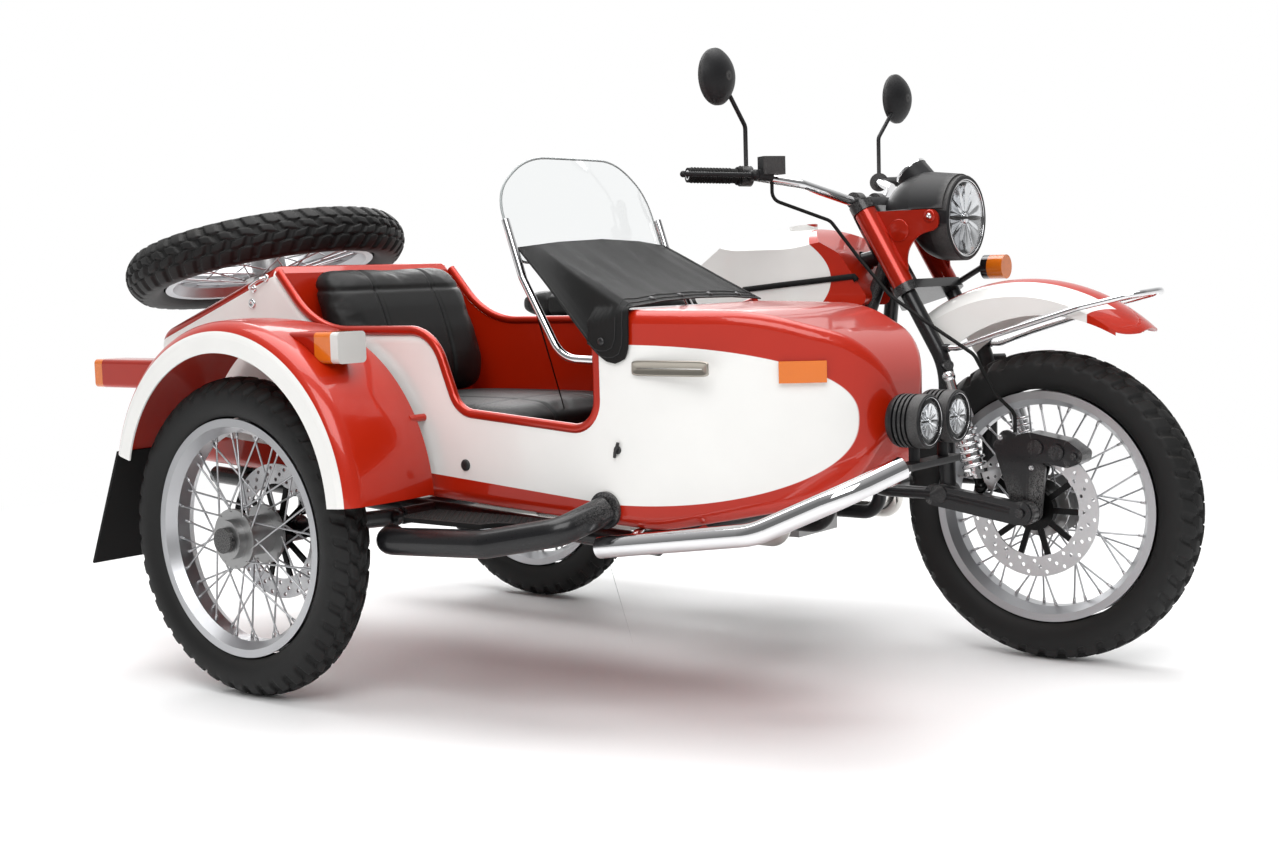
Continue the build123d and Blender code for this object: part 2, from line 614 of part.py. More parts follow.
def bar_control(side):
    """Switch housing, lever perch, lever and fluid pot beside a grip."""
    inner, run = _grip_frame(side, GRIP_LENGTH + 28.0)
    outer = inner + run * 26.0
    housing = rod(tuple(inner), tuple(outer), 23.0)
    bore = rod(tuple(inner - run * 60.0), tuple(outer + run * 5.0), BAR_RADIUS + PLAY)
    ahead = _bar_ahead(side, run)
    perch = inner + run * 8.0
    pivot = perch + ahead * 44.0
    reach = pivot + run * 168.0 - ahead * 12.0
    lever = rod(tuple(perch), tuple(pivot), 12.0) + rod(tuple(pivot), tuple(reach), 5.5)
    lever += Pos(*pivot) * Sphere(12.5)
    lever += Pos(*reach) * Sphere(7.5)
    pieces = [housing, lever]
    if side < 0:
        master = master_place()
        pieces.append(rod(tuple(perch + ahead * 40.0), tuple(master), MASTER_RADIUS))
        pot = Plane(origin=master + Vector(0, 0, 22.0), x_dir=run, z_dir=(0, 0, 1)) * Box(54.0, 40.0, 40.0)
        pieces.append(fillet(pot.edges().filter_by(Axis.Z), 6.0))
    return pieces[0] + pieces[1:] - bore - bar_tube(BAR_RADIUS + PLAY)


def mirror_piece(side):
    """Round mirror on a bent stem."""
    inner, run = _grip_frame(side, GRIP_LENGTH + 18.0)
    base = inner + Vector(0, 0, 23.0 + PLAY)
    knee = (base.X, base.Y, 1197.0)
    centre = (918.0, side * 400.0, 1300.0)
    stem = bent_tube([tuple(base), knee, centre], 5.0, 18.0)
    back = Plane(origin=(centre[0] + 9.0, centre[1], centre[2]), z_dir=(-1, 0, 0))
    arc = cap_arc(MIRROR_RADIUS, 16.0, MIRROR_BOWL)
    rim_line = Polyline((0, MIRROR_BOWL), (0, 22.0), (MIRROR_RADIUS, 22.0), (MIRROR_RADIUS, 16.0))
    head = back * turned(make_face([arc, rim_line]))
    return stem + head


def cap_arc(edge, start, pole):
    """Arc from (edge, start) to the axis at the pole, part of a circle centred on the axis."""
    depth = pole - start
    centre = start + (depth * depth - edge * edge) / (2 * depth)
    reach = pole - centre
    middle_edge = 0.55 * edge
    middle = centre + (1 if reach > 0 else -1) * sqrt(reach * reach - middle_edge * middle_edge)
    return ThreePointArc((edge, start), (middle_edge, middle), (0, pole))


def lamp_turn(face):
    """Face drawn as (radius, distance back from the lamp's face), turned about the lamp's axis."""
    return Plane(origin=(LAMP_X, 0, LAMP_Z), z_dir=(-1, 0, 0)) * turned(face)


def _lamp_bowl(grow):
    """Closed bowl of the headlamp, grown all round by a margin."""
    depth = LAMP_X - LAMP_BACK_X
    arc = cap_arc(LAMP_RADIUS + grow, 42.0, depth + grow)
    edge = Polyline((0, depth + grow), (0, 0), (LAMP_RADIUS + grow, 0), (LAMP_RADIUS + grow, 42.0))
    return lamp_turn(make_face([arc, edge]))


def headlamp_shell():
    """Bowl of the headlamp, hollow behind the lens, with a stud for each ear."""
    shell = _lamp_bowl(0.0)
    recess = lamp_turn(make_face(Polyline((0, -1), (LAMP_LENS_RADIUS, -1), (LAMP_LENS_RADIUS, 14.0), (0, 14.0), close=True)))
    studs = [
        rod((LAMP_EAR_X, side * (LAMP_RADIUS - 12.0), LAMP_Z), (LAMP_EAR_X, side * (LAMP_RADIUS + 3.0 - PLAY), LAMP_Z), 12.0)
        for side in SIDES
    ]
    return shell + studs - recess


def headlamp_lens():
    """Domed lens in the lamp's ring."""
    edge = LAMP_LENS_RADIUS - PLAY
    arc = cap_arc(edge, 2.0, -14.0)
    rest = Polyline((0, -14.0), (0, 13.0), (edge, 13.0), (edge, 2.0))
    return lamp_turn(make_face([arc, rest]))


def instrument_cowl():
    """Dome over the upper half of the headlamp, back to the handlebar."""
    back = LAMP_X - COWL_BACK_X
    arc = ThreePointArc((LAMP_RADIUS + 13.0, 90.0), (LAMP_RADIUS - 6.0, 146.0), (46.0, back))
    rest = Polyline((46.0, back), (0, back), (0, 10.0), (LAMP_RADIUS + 4.0, 10.0), (LAMP_RADIUS + 13.0, 90.0))
    dome = lamp_turn(make_face([arc, rest])) - _lamp_bowl(PLAY)
    lower = box((COWL_BACK_X - 20.0, LAMP_X + 20.0), (-150.0, 150.0), (LAMP_Z - 150.0, LAMP_Z + 22.0))
    dome -= lower
    front = TUBE_AHEAD + COVER_RADIUS + 4.0 + PLAY
    above = YOKE_TOP + YOKE_WALL / 2 + PLAY
    frame = Plane(origin=steer(0.0), x_dir=_steer_ahead(), z_dir=_steer_up())
    yoke_room = frame * box((-200.0, front), (-200.0, 200.0), (-200.0, above))
    shell = max((dome - yoke_room).solids(), key=lambda solid: solid.volume)
    back = Vector(-sin(radians(DIAL_TILT)), 0, cos(radians(DIAL_TILT)))
    foot = Vector(DIAL_X, 0, DIAL_Z)
    return shell + rod(tuple(foot - back * 40.0), tuple(foot), DIAL_RADIUS)


def turn_signal():
    """Front turn signal on the left of the fork."""
    return rod((1280.0, 140.0, 868.0), (1334.0, 140.0, 868.0), 28.0)


def front_fender():
    """Valanced fender over the front wheel, with a rounded tip."""
    section = fender_section(FRONT_FENDER_RADIUS, FRONT_FENDER_HALF_WIDTH, 130.0, FENDER_WALL)
    shell = arch(section, FRONT_FENDER_X, FRONT_FENDER_Z, FRONT_FENDER_TIP, FRONT_FENDER_TAIL)
    trim = rod((FRONT_FENDER_X + 64.0, -200.0, FRONT_FENDER_Z), (FRONT_FENDER_X + 64.0, 200.0, FRONT_FENDER_Z), 342.0)
    tip_x = FRONT_FENDER_X + FRONT_FENDER_RADIUS * cos(radians(FRONT_FENDER_TIP))
    half = FRONT_FENDER_HALF_WIDTH
    plan = outline((
        (1000.0, -half, 0.0), (tip_x, -half, 70.0), (tip_x, half, 70.0), (1000.0, half, 0.0),
    ))
    return (shell - trim) & extrude(plan, 1200.0)


def fender_rail():
    """Bright rail from the fork round the fender's tip."""
    left = [
        (1312.3, 105.0, 693.0), (1334.0, 105.0, 693.0), (1420.0, 103.0, 722.0), (1610.0, 97.0, 779.0),
        (1726.0, 72.0, 806.0), (1750.0, 0.0, 812.0),
    ]
    right = [(x, -y, z) for x, y, z in reversed(left[:-1])]
    near = FRONT_FENDER_HALF_WIDTH + PLAY
    lugs = [rod((1575.0, side * 98.0, 768.5), (1575.0, side * near, 768.5), 5.0) for side in SIDES]
    return bent_tube(left + right, RAIL_RADIUS, 45.0) + lugs


def seat_rail(side, radius):
    """Tube from the backbone down and back under the seat."""
    rail = side * SEAT_RAIL_HALF_WIDTH
    points = [(752.0, side * 12.0, 836.0), (655.0, rail, SEAT_RAIL_Z), (-90.0, rail, SEAT_RAIL_Z)]
    return bent_tube(points, radius, 55.0)


def cradle_loop(side, radius):
    """Tube from the steering head down, under the engine and up to the seat rail."""
    wide = side * CRADLE_HALF_WIDTH
    rail = side * SEAT_RAIL_HALF_WIDTH
    points = [
        steer(-110.0, side * 20.0), (1040.0, side * 92.0, 620.0), (1000.0, wide, CRADLE_Z),
        (UPRIGHT_X + 60.0, wide, CRADLE_Z), (UPRIGHT_X, wide, 420.0), (UPRIGHT_X - 110.0, rail, SEAT_RAIL_Z),
    ]
    return bent_tube(points, radius, 50.0)


def motorcycle_frame():
    """Steering head, backbone, cradle, uprights and seat rails."""
    head = rod(steer(HEAD_BOTTOM), steer(HEAD_TOP), HEAD_RADIUS)
    pieces = [rod(steer(-95.0), (640.0, 0.0, 812.0), 19.0)]
    for side in SIDES:
        rail = side * SEAT_RAIL_HALF_WIDTH
        pieces.append(cradle_loop(side, FRAME_TUBE_RADIUS))
        pieces.append(seat_rail(side, FRAME_TUBE_RADIUS))
        inner = side * 92.0
        outer = side * (SWING_HALF_GAUGE - SWING_RADIUS - PLAY)
        plate_rows = (
            (SWING_PIVOT_X - 28.0, TYRE_RADIUS - 26.0, 20.0), (UPRIGHT_X + 48.0, 300.0, 8.0),
            (UPRIGHT_X + 26.0, 372.0, 8.0), (SWING_PIVOT_X - 28.0, TYRE_RADIUS + 30.0, 20.0),
        )
        left, right = max(inner, outer), min(inner, outer)
        pieces.append(side_prism(outline(plate_rows), left, right))
        lug = (140.0, side * 150.0, SEAT_RAIL_Z)
        pieces.append(rod((140.0, rail, SEAT_RAIL_Z), lug, 11.0))
        pieces += [rod((x, rail, SEAT_RAIL_Z), (x, rail, SEAT_LOW_Z - PLAY), 12.0) for x in SEAT_LUGS]
    rest_z = ENGINE_LOW_Z - PLAY - 12.0
    pieces.append(
        rod((ENGINE_REST_X, -CRADLE_HALF_WIDTH, rest_z), (ENGINE_REST_X, CRADLE_HALF_WIDTH, rest_z), 12.0)
    )
    bore = rod(steer(HEAD_BOTTOM - 60.0), steer(HEAD_TOP + 60.0), STEM_RADIUS + PLAY)
    pivot = rod((SWING_PIVOT_X, -200.0, TYRE_RADIUS), (SWING_PIVOT_X, 200.0, TYRE_RADIUS), SWING_PIN_RADIUS + PLAY)
    return head + pieces - bore - pivot


def engine_block():
    """Crankcase, front cover, gearbox, sump and air box as one casting."""
    rows = (
        (420.0, ENGINE_LOW_Z, 25.0), (940.0, ENGINE_LOW_Z, 30.0), (962.0, 470.0, 60.0), (930.0, 590.0, 50.0),
        (690.0, 620.0, 30.0), (640.0, 560.0, 30.0), (440.0, 540.0, 40.0), (395.0, 400.0, 30.0),
    )
    case = side_prism(outline(rows), CRANKCASE_HALF_WIDTH, -CRANKCASE_HALF_WIDTH)
    case = fillet(case.edges().group_by(Axis.Y)[0] + case.edges().group_by(Axis.Y)[-1], 14.0)
    cover = rod((900.0, 0, 470.0), (990.0, 0, 470.0), 78.0)
    sump = box((560.0, 900.0), (-88.0, 88.0), (236.0, 320.0))
    air_box = box((440.0, 620.0), (-88.0, 88.0), (500.0, 650.0))
    flanges = [
        rod((CYLINDER_X, side * 90.0, CYLINDER_Z), (CYLINDER_X, side * (CRANKCASE_HALF_WIDTH + 6.0), CYLINDER_Z), 74.0)
        for side in SIDES
    ]
    waist = [box((300.0, 506.0), sorted((side * 90.0, side * 200.0)), (200.0, 700.0)) for side in SIDES]
    return case - waist + [cover, sump, air_box] + flanges


def cylinder(side):
    """Finned barrel, finned head and rounded valve cover."""
    fins = 13
    pitch = 13.5
    inner = CRANKCASE_HALF_WIDTH + 6.0 + PLAY
    points = [(0, 0), (60.0, 0)]
    for step in range(fins):
        start = 8.0 + step * pitch
        reach = 82.0 if step < 8 else 92.0
        points += [(60.0, start), (reach, start + 1.0), (reach, start + 4.0), (60.0, start + 5.0)]
    height = 8.0 + fins * pitch
    points += [(60.0, height), (0, height)]
    barrel = turned(make_face(Polyline(*points, close=True)))
    cover = Pos(0, 0, height + 17.0) * fillet(Box(128.0, 128.0, 38.0).edges(), 15.0)
    piece = barrel + cover
    return Pos(CYLINDER_X, side * inner, CYLINDER_Z) * Rot(-90 * side, 0, 0) * piece


def intake_pipe(side):
    """Pipe and throttle body from the air box to the cylinder head."""
    head = CYLINDER_X - 92.0 - PLAY
    points = [(head, side * 255.0, 440.0), (676.0, side * 255.0, 440.0), (590.0, side * 190.0, 584.0),
              (590.0, side * (88.0 + PLAY), 584.0)]
    body = rod((head - 44.0, side * 255.0, 440.0), (head - 8.0, side * 255.0, 440.0), 31.0)
    return bent_tube(points, 21.0, 42.0) + body


def exhaust_pipe(side):
    """Header from the cylinder head and the silencer behind it."""
    face = CYLINDER_X + 92.0 + PLAY
    points = [(face, side * 262.0, 440.0), (972.0, side * 262.0, 440.0), (966.0, side * 260.0, 262.0),
              (330.0, side * SILENCER_Y, SILENCER_Z)]
    header = bent_tube(points, 20.0, 34.0)
    half = SILENCER_RADIUS
    can_face = outline(((0, 0, 0), (22.0, 0, 0), (half, 110.0, 30.0), (half, 560.0, 30.0), (26.0, 640.0, 10.0), (0, 640.0, 0)))
    can = Pos(340.0, side * SILENCER_Y, SILENCER_Z) * Rot(0, -90, 0) * turned(can_face)
    return header + can


def swing_arm():
    """Rear swing arm with pivot tube, final drive and axle."""
    spindle = rod((0, -SWING_HALF_GAUGE - 24.0, TYRE_RADIUS), (0, SWING_HALF_GAUGE + 24.0, TYRE_RADIUS), AXLE_RADIUS)
    pieces = [rod((SWING_PIVOT_X, -SWING_HALF_GAUGE, TYRE_RADIUS), (SWING_PIVOT_X, SWING_HALF_GAUGE, TYRE_RADIUS), SWING_PIN_RADIUS)]
    for side in SIDES:
        gauge = side * SWING_HALF_GAUGE
        pieces.append(rod((SWING_PIVOT_X, gauge, TYRE_RADIUS), (0, gauge, TYRE_RADIUS), SWING_RADIUS))
        pieces.append(rod((0, gauge - 20.0, TYRE_RADIUS), (0, gauge + 20.0, TYRE_RADIUS), 27.0))
        pieces.append(Pos(SWING_PIVOT_X, gauge, TYRE_RADIUS) * Sphere(SWING_RADIUS))
    drive = rod((0, -HUB_HALF_WIDTH - 3.0, TYRE_RADIUS), (0, -94.0, TYRE_RADIUS), 92.0)
    drive = fillet(drive.edges(), 12.0)
    spacer = rod((0, DISC_OFFSET + DISC_WALL, TYRE_RADIUS), (0, SWING_HALF_GAUGE, TYRE_RADIUS), 17.0)
    return spindle + pieces + [drive, spacer]


def rear_shock(side):
    """Rear coil-over between swing arm and seat rail."""
    foot = (50.0, side * SWING_HALF_GAUGE, TYRE_RADIUS + SWING_RADIUS + SHOCK_EYE_RADIUS + PLAY)
    top = (140.0, side * SWING_HALF_GAUGE, SEAT_RAIL_Z - 11.0 - SHOCK_EYE_RADIUS - PLAY)
    return shock(foot, top, 30.0)


def fuel_tank():
    """Tank with a crowned top, narrow neck and a tunnel for the backbone."""
    neck_top = steer(-30.0, 0.0, -46.0)
    neck_foot = steer(-205.0, 0.0, -46.0)
    rows = (
        (618.0, TANK_FLOOR_Z + 10.0, 20.0), (neck_foot[0] - 10.0, TANK_FLOOR_Z, 20.0), (neck_top[0] + 4.0, neck_top[2] - 26.0, 60.0),
        (930.0, TANK_TOP_Z + 8.0, 150.0), (780.0, TANK_TOP_Z - 4.0, 150.0), (628.0, TANK_FLOOR_Z + 94.0, 50.0),
    )
    half = TANK_HALF_WIDTH
    neck = TANK_NECK_HALF_WIDTH
    body = side_prism(outline(rows), half, -half)
    plan = outline((
        (600.0, -95.0, 40.0), (760.0, -half, 160.0), (930.0, -half, 160.0), (1150.0, -neck + 10.0, 0.0),
        (1150.0, neck - 10.0, 0.0), (930.0, half, 160.0), (760.0, half, 160.0), (600.0, 95.0, 40.0),
    ))
    body = body & extrude(plan, 1200.0)
    crown = Pos(850.0, 0, TANK_TOP_Z - 250.0) * Rot(0, 90, 0) * Cylinder(252.0, 700.0)
    body = body & crown
    tunnel = rod(steer(-95.0), (560.0, 0.0, 793.0), 24.0)
    drop = box((560.0, 1160.0), (-24.0, 24.0), (TANK_FLOOR_Z - 20.0, 818.0))
    cap = rod((878.0, 0.0, TANK_TOP_Z - 30.0), (874.0, 0.0, TANK_TOP_Z + 12.0), 34.0)
    room = FRAME_TUBE_RADIUS + PLAY
    legs = [maker(side, room) for maker in (seat_rail, cradle_loop) for side in SIDES]
    return body + cap - tunnel - drop - legs


def rider_seat():
    """Bench seat behind the tank."""
    low, rear = SEAT_LOW_Z, SEAT_REAR_X
    front, top = rear + SEAT_LENGTH, low + SEAT_THICKNESS
    rows = (
        (rear, low, 8.0), (front, low, 8.0), (front, top - 14.0, 26.0), (420.0, top - 6.0, 60.0),
        (250.0, top + 4.0, 90.0), (rear, top + 8.0, 30.0),
    )
    body = side_prism(outline(rows), SEAT_HALF_WIDTH, -SEAT_HALF_WIDTH)
    plan = outline((
        (rear, -SEAT_HALF_WIDTH + 14.0, 50.0), (330.0, -SEAT_HALF_WIDTH, 120.0), (front, -95.0, 30.0),
        (front, 95.0, 30.0), (330.0, SEAT_HALF_WIDTH, 120.0), (rear, SEAT_HALF_WIDTH - 14.0, 50.0),
    ))
    return body & extrude(plan, 1200.0)


def rear_fender():
    """Fender round the rear wheel."""
    section = fender_section(REAR_FENDER_RADIUS, REAR_FENDER_HALF_WIDTH, 96.0, FENDER_WALL)
    return arch(section, 0.0, TYRE_RADIUS, 52.0, 172.0)


def tail_lamp():
    """Lamp on the rear fender, shaped to its curve."""
    block = fillet(box((-452.0, -330.0), (-46.0, 46.0), (545.0, 615.0)).edges(), 12.0)
    curve = rod((0, -90.0, TYRE_RADIUS), (0, 90.0, TYRE_RADIUS), REAR_FENDER_RADIUS + PLAY)
    return max((block - curve).solids(), key=lambda solid: solid.volume)


def foot_control(side):
    """Foot peg with its hanger and a pedal."""
    inner = CRADLE_HALF_WIDTH + FRAME_TUBE_RADIUS + PLAY
    hanger = box((548.0, 588.0), sorted((side * inner, side * (inner + 8.0))), (258.0, 345.0))
    peg = rod((568.0, side * inner, 326.0), (568.0, side * 290.0, 330.0), 13.0)
    pedal = bent_tube(
        [(568.0, side * 168.0, 322.0), (690.0, side * 168.0, 320.0), (712.0, side * 168.0, 356.0), (712.0, side * 205.0, 356.0)],
        7.0, 12.0)
    return hanger + [peg, pedal]


def side_rail(y):
    """One long tube of the sidecar frame."""
    ends = [(x, y, floor_z(x) - SIDE_TUBE_DROP) for x in (-200.0, 1120.0)]
    return rod(*ends, SIDE_TUBE_RADIUS)


def sidecar_frame():
    """Long tubes, cross tubes, body mounts, struts to the motorcycle, arm pivot and shock post."""
    frame = side_rail(SIDE_RIGHT_Y)
    pieces = [side_rail(SIDE_LEFT_Y)]
    for x in (-150.0, 470.0, 1060.0):
        z = floor_z(x) - SIDE_TUBE_DROP
        pieces.append(rod((x, SIDE_RIGHT_Y, z), (x, SIDE_LEFT_Y, z), SIDE_CROSS_RADIUS))
    for x in (-90.0, 390.0, 960.0):
        for y in (SIDE_RIGHT_Y, SIDE_LEFT_Y):
            floor = floor_z(x)
            pieces.append(rod((x, y, floor - SIDE_TUBE_DROP), (x, y, floor - 1.6), 16.0))
    struts = (
        ((1050.0, SIDE_LEFT_Y, floor_z(1050.0) - SIDE_TUBE_DROP), (1012.0, -150.0, 320.0)),
        ((170.0, SIDE_LEFT_Y, floor_z(170.0) - SIDE_TUBE_DROP), (UPRIGHT_X - 4.0, -153.7, 430.0)),
        ((1000.0, SIDE_LEFT_Y, floor_z(1000.0) - SIDE_TUBE_DROP), (1036.0, -130.4, 570.0)),
        ((420.0, SIDE_LEFT_Y, floor_z(420.0) - SIDE_TUBE_DROP), (UPRIGHT_X - 76.0, -140.7, 640.0)),
    )
    for foot, top in struts:
        pieces.append(rod(foot, top, 13.0))
        pieces.append(Pos(*top) * Sphere(17.0))
    pivot_z = floor_z(SIDE_PIVOT_X) - SIDE_TUBE_DROP
    inner = SIDE_ARM_Y + 18.0 + PLAY
    pieces.append(rod((SIDE_PIVOT_X, SIDE_RIGHT_Y, pivot_z), (SIDE_PIVOT_X, inner, pivot_z), 18.0))
    post_z = floor_z(300.0) - SIDE_TUBE_DROP
    post = [(300.0, SIDE_RIGHT_Y, post_z), (300.0, SIDE_ARM_Y, post_z), (300.0, SIDE_ARM_Y, 640.0), (232.0, SIDE_ARM_Y, 640.0)]
    pieces.append(bent_tube(post, 13.0, 26.0))
    return frame + pieces


def sidecar_swing_arm():
    """Trailing arm of the sidecar wheel with its axle and end cap."""
    pivot_z = floor_z(SIDE_PIVOT_X) - SIDE_TUBE_DROP
    arm = rod((SIDE_PIVOT_X, SIDE_ARM_Y, pivot_z), (SIDECAR_LEAD, SIDE_ARM_Y, TYRE_RADIUS), 18.0)
    outer = -TRACK - HUB_HALF_WIDTH
    inner_end = -TRACK + DISC_OFFSET + DISC_WALL
    pieces = [
        Pos(SIDE_PIVOT_X, SIDE_ARM_Y, pivot_z) * Sphere(18.0),
        rod((SIDECAR_LEAD, SIDE_ARM_Y + 20.0, TYRE_RADIUS), (SIDECAR_LEAD, SIDE_ARM_Y - 20.0, TYRE_RADIUS), 28.0),
        rod((SIDECAR_LEAD, SIDE_ARM_Y, TYRE_RADIUS), (SIDECAR_LEAD, outer - 8.0, TYRE_RADIUS), AXLE_RADIUS),
        rod((SIDECAR_LEAD, SIDE_ARM_Y, TYRE_RADIUS), (SIDECAR_LEAD, inner_end, TYRE_RADIUS), 17.0),
        rod((SIDECAR_LEAD, outer - PLAY, TYRE_RADIUS), (SIDECAR_LEAD, outer - 12.0, TYRE_RADIUS), 27.0),
    ]
    return arm + pieces


def sidecar_shock():
    """Coil-over of the sidecar wheel."""
    share = (232.0 - SIDECAR_LEAD) / (SIDE_PIVOT_X - SIDECAR_LEAD)
    arm_z = TYRE_RADIUS + share * (floor_z(SIDE_PIVOT_X) - SIDE_TUBE_DROP - TYRE_RADIUS)
    foot = (236.0, SIDE_ARM_Y, arm_z + 28.0 + SHOCK_EYE_RADIUS)
    return shock(foot, (236.0, SIDE_ARM_Y, 640.0 - 13.0 - SHOCK_EYE_RADIUS - PLAY), 28.0)


def body_rows(grow):
    """Side outline of the sidecar body, drawn inward by a margin."""
    return (
        (BODY_TAIL_X + grow, FLOOR_TAIL_Z + grow, 45.0),
        (BODY_TAIL_X + grow, LID_TAIL_Z - grow, 50.0),
        (LID_FRONT_X - 0.6 * grow, LID_FRONT_Z - grow, 8.0),
        (232.0, SADDLE_RIM_Z - grow, 220.0),
        (900.0, SADDLE_RIM_Z - grow, 160.0),
        (DECK_X, DECK_Z - grow, 90.0),
        (1330.0, DECK_Z - 6.0 - grow, 420.0),
        (1520.0 - 0.5 * grow, 742.0 - grow, 130.0),
        (BODY_NOSE_X - grow, 610.0, 110.0),
        (1475.0 - 0.5 * grow, 452.0 + grow, 160.0),
        (FLOOR_NOSE_X, FLOOR_NOSE_Z + grow, 300.0),
    )


def body_plan(grow):
    """Plan of the sidecar body with a nose of two tangent arcs each side, drawn inward by a margin."""
    half = BODY_HALF_WIDTH - grow
    reach = BODY_NOSE_X - grow - BODY_NOSE_START_X
    turn = radians(NOSE_TURN)
    share = sin(turn) * cos(turn) - (1 - sin(turn)) * (1 - cos(turn))
    wide = (reach * cos(turn) - half * (1 - sin(turn))) / share
    tight = (half * sin(turn) - reach * (1 - cos(turn))) / share
    start = (BODY_NOSE_START_X, BODY_Y - half)
    flank = JernArc(start, (1, 0), wide, NOSE_TURN)
    tip = JernArc(flank @ 1, flank % 1, tight, 180.0 - 2 * NOSE_TURN)
    back = JernArc(tip @ 1, tip % 1, wide, NOSE_TURN)
    tail = BODY_TAIL_X + grow
    rest = Polyline(back @ 1, (tail, BODY_Y + half), (tail, BODY_Y - half), start)
    return make_face([flank, tip, back, rest])


def body_block(grow):
    """Outer or inner block of the sidecar body."""
    left = BODY_Y + BODY_HALF_WIDTH
    block = side_prism(outline(body_rows(grow)), left + 50.0, left - 2 * BODY_HALF_WIDTH - 50.0)
    return block & extrude(body_plan(grow), 1200.0)


def lid_plane(drop):
    """Plane along the trunk lid's slope, lowered by a distance."""
    slope = Vector(LID_FRONT_X - BODY_TAIL_X, 0, LID_FRONT_Z - LID_TAIL_Z).normalized()
    normal = Vector(-slope.Z, 0, slope.X)
    base = Vector(BODY_TAIL_X, BODY_Y, LID_TAIL_Z) - normal * drop
    return Plane(origin=base, x_dir=slope, z_dir=normal)


def rim_path(side):
    """Points along the cockpit's edge on one side, from the seat back to the deck."""
    y = BODY_Y + side * (BODY_HALF_WIDTH - BODY_WALL / 2)
    start = [(LID_FRONT_X + 16.0, y, LID_FRONT_Z - 16.0), (232.0, y, SADDLE_RIM_Z)]
    if side > 0:
        return start + [(900.0, y, SADDLE_RIM_Z), (DECK_X, y, DECK_Z - 2.0)]
    return start + [(585.0, y, SADDLE_RIM_Z), (652.0, y, SILL_Z + 24.0), (DECK_X, y, SILL_Z - 4.0), (DECK_X, y, DECK_Z - 34.0)]


def rim_tube(side, radius):
    """Round tube along one edge of the cockpit."""
    bends = [220.0, 60.0] if side > 0 else [220.0, 95.0, 62.0, 58.0]
    path = FilletPolyline(*rim_path(side), radius=bends)
    return sweep(Plane(origin=path @ 0, z_dir=path % 0) * Circle(radius), path=path)


def outer_body():
    """Outer block of the sidecar body with softened edges."""
    block = body_block(0.0)
    return fillet(block.edges().filter_by(lambda edge: edge.length > 1.0), BODY_EDGE_RADIUS)


def bulkhead_x(z):
    """Station of the bulkhead's front face at a height."""
    rise = (LID_FRONT_Z - z) / (LID_FRONT_Z - BULKHEAD_FOOT_Z)
    return BULKHEAD_TOP_X + (BULKHEAD_FOOT_X - BULKHEAD_TOP_X) * rise


def sidecar_body(block):
    """Hollow shell with cockpit, entry cut-out, bulkhead, seat plinth, open trunk and hinge lugs."""
    high = 1200.0
    left = BODY_Y + BODY_HALF_WIDTH - BODY_WALL
    right = BODY_Y - BODY_HALF_WIDTH + BODY_WALL
    hollow = body_block(BODY_WALL)
    ahead = outline((
        (BULKHEAD_TOP_X, high, 0.0), (BULKHEAD_TOP_X, LID_FRONT_Z, 0.0), (BULKHEAD_FOOT_X, BULKHEAD_FOOT_Z, 0.0),
        (BULKHEAD_FOOT_X, 200.0, 0.0), (1800.0, 200.0, 0.0), (1800.0, high, 0.0),
    ))
    cockpit = hollow & side_prism(ahead, left + 90.0, right - 90.0)
    mouth = outline((
        (BULKHEAD_TOP_X, high, 0.0), (BULKHEAD_TOP_X, LID_FRONT_Z, 0.0), (bulkhead_x(650.0), 650.0, 0.0),
        (DECK_X - 12.0, 650.0, 0.0), (DECK_X - 12.0, high, 0.0),
    ))
    cockpit += side_prism(mouth, left, right)
    behind = outline((
        (-600.0, high, 0.0), (BULKHEAD_TOP_X - BULKHEAD_WALL, high, 0.0),
        (BULKHEAD_TOP_X - BULKHEAD_WALL, LID_FRONT_Z, 0.0), (BULKHEAD_FOOT_X - BULKHEAD_WALL, BULKHEAD_FOOT_Z, 0.0),
        (BULKHEAD_FOOT_X - BULKHEAD_WALL, 200.0, 0.0), (-600.0, 200.0, 0.0),
    ))
    trunk = hollow & side_prism(behind, left + 90.0, right - 90.0)
    entry = outline((
        (500.0, SADDLE_RIM_Z, 0.0), (585.0, SADDLE_RIM_Z, 95.0), (652.0, SILL_Z + 24.0, 62.0),
        (DECK_X, SILL_Z - 4.0, 58.0), (DECK_X, high, 0.0), (500.0, high, 0.0),
    ))
    entry_cut = side_prism(entry, right + 6.0, right - 90.0)
    plinth_front = 740.0
    plinth_rows = (
        (bulkhead_x(PLINTH_Z) - 4.0, PLINTH_Z, 0.0), (bulkhead_x(440.0) - 4.0, floor_z(bulkhead_x(440.0)) + 4.0, 0.0),
        (plinth_front, floor_z(plinth_front) + 4.0, 0.0), (plinth_front, PLINTH_Z, 0.0),
    )
    plinth = side_prism(outline(plinth_rows), left - 14.0, right + 14.0)
    slope_cut = split(block, lid_plane(LID_WALL + PLAY), keep=Keep.TOP) & box((-700.0, LID_FRONT_X), (-1200.0, 0.0), (0.0, high))
    shell = block - cockpit - trunk - slope_cut + plinth - entry_cut
    for side in SIDES:
        shell -= rim_tube(side, RIM_TUBE_RADIUS + PLAY)
    return shell + hinge_lugs()


def hinge_point():
    """Side-view place of the trunk lid's hinge pin."""
    seam = lid_plane(LID_WALL).origin
    return (BODY_TAIL_X - 10.0, seam.Z - 2.0)


def hinge_lugs():
    """Lugs and pins on the body's tail that carry the trunk lid."""
    x, z = hinge_point()
    pieces = []
    for y in HINGE_STATIONS:
        pieces.append(rod((x, y - 34.0, z), (x, y + 34.0, z), 3.0))
        for side in SIDES:
            near = y + side * 26.0
            far = y + side * 34.0
            pieces.append(rod((x, near, z), (x, far, z), HINGE_RADIUS))
            pieces.append(box((x, BODY_TAIL_X + 5.0), sorted((near, far)), (z - 24.0, z - 2.5)))
    return pieces


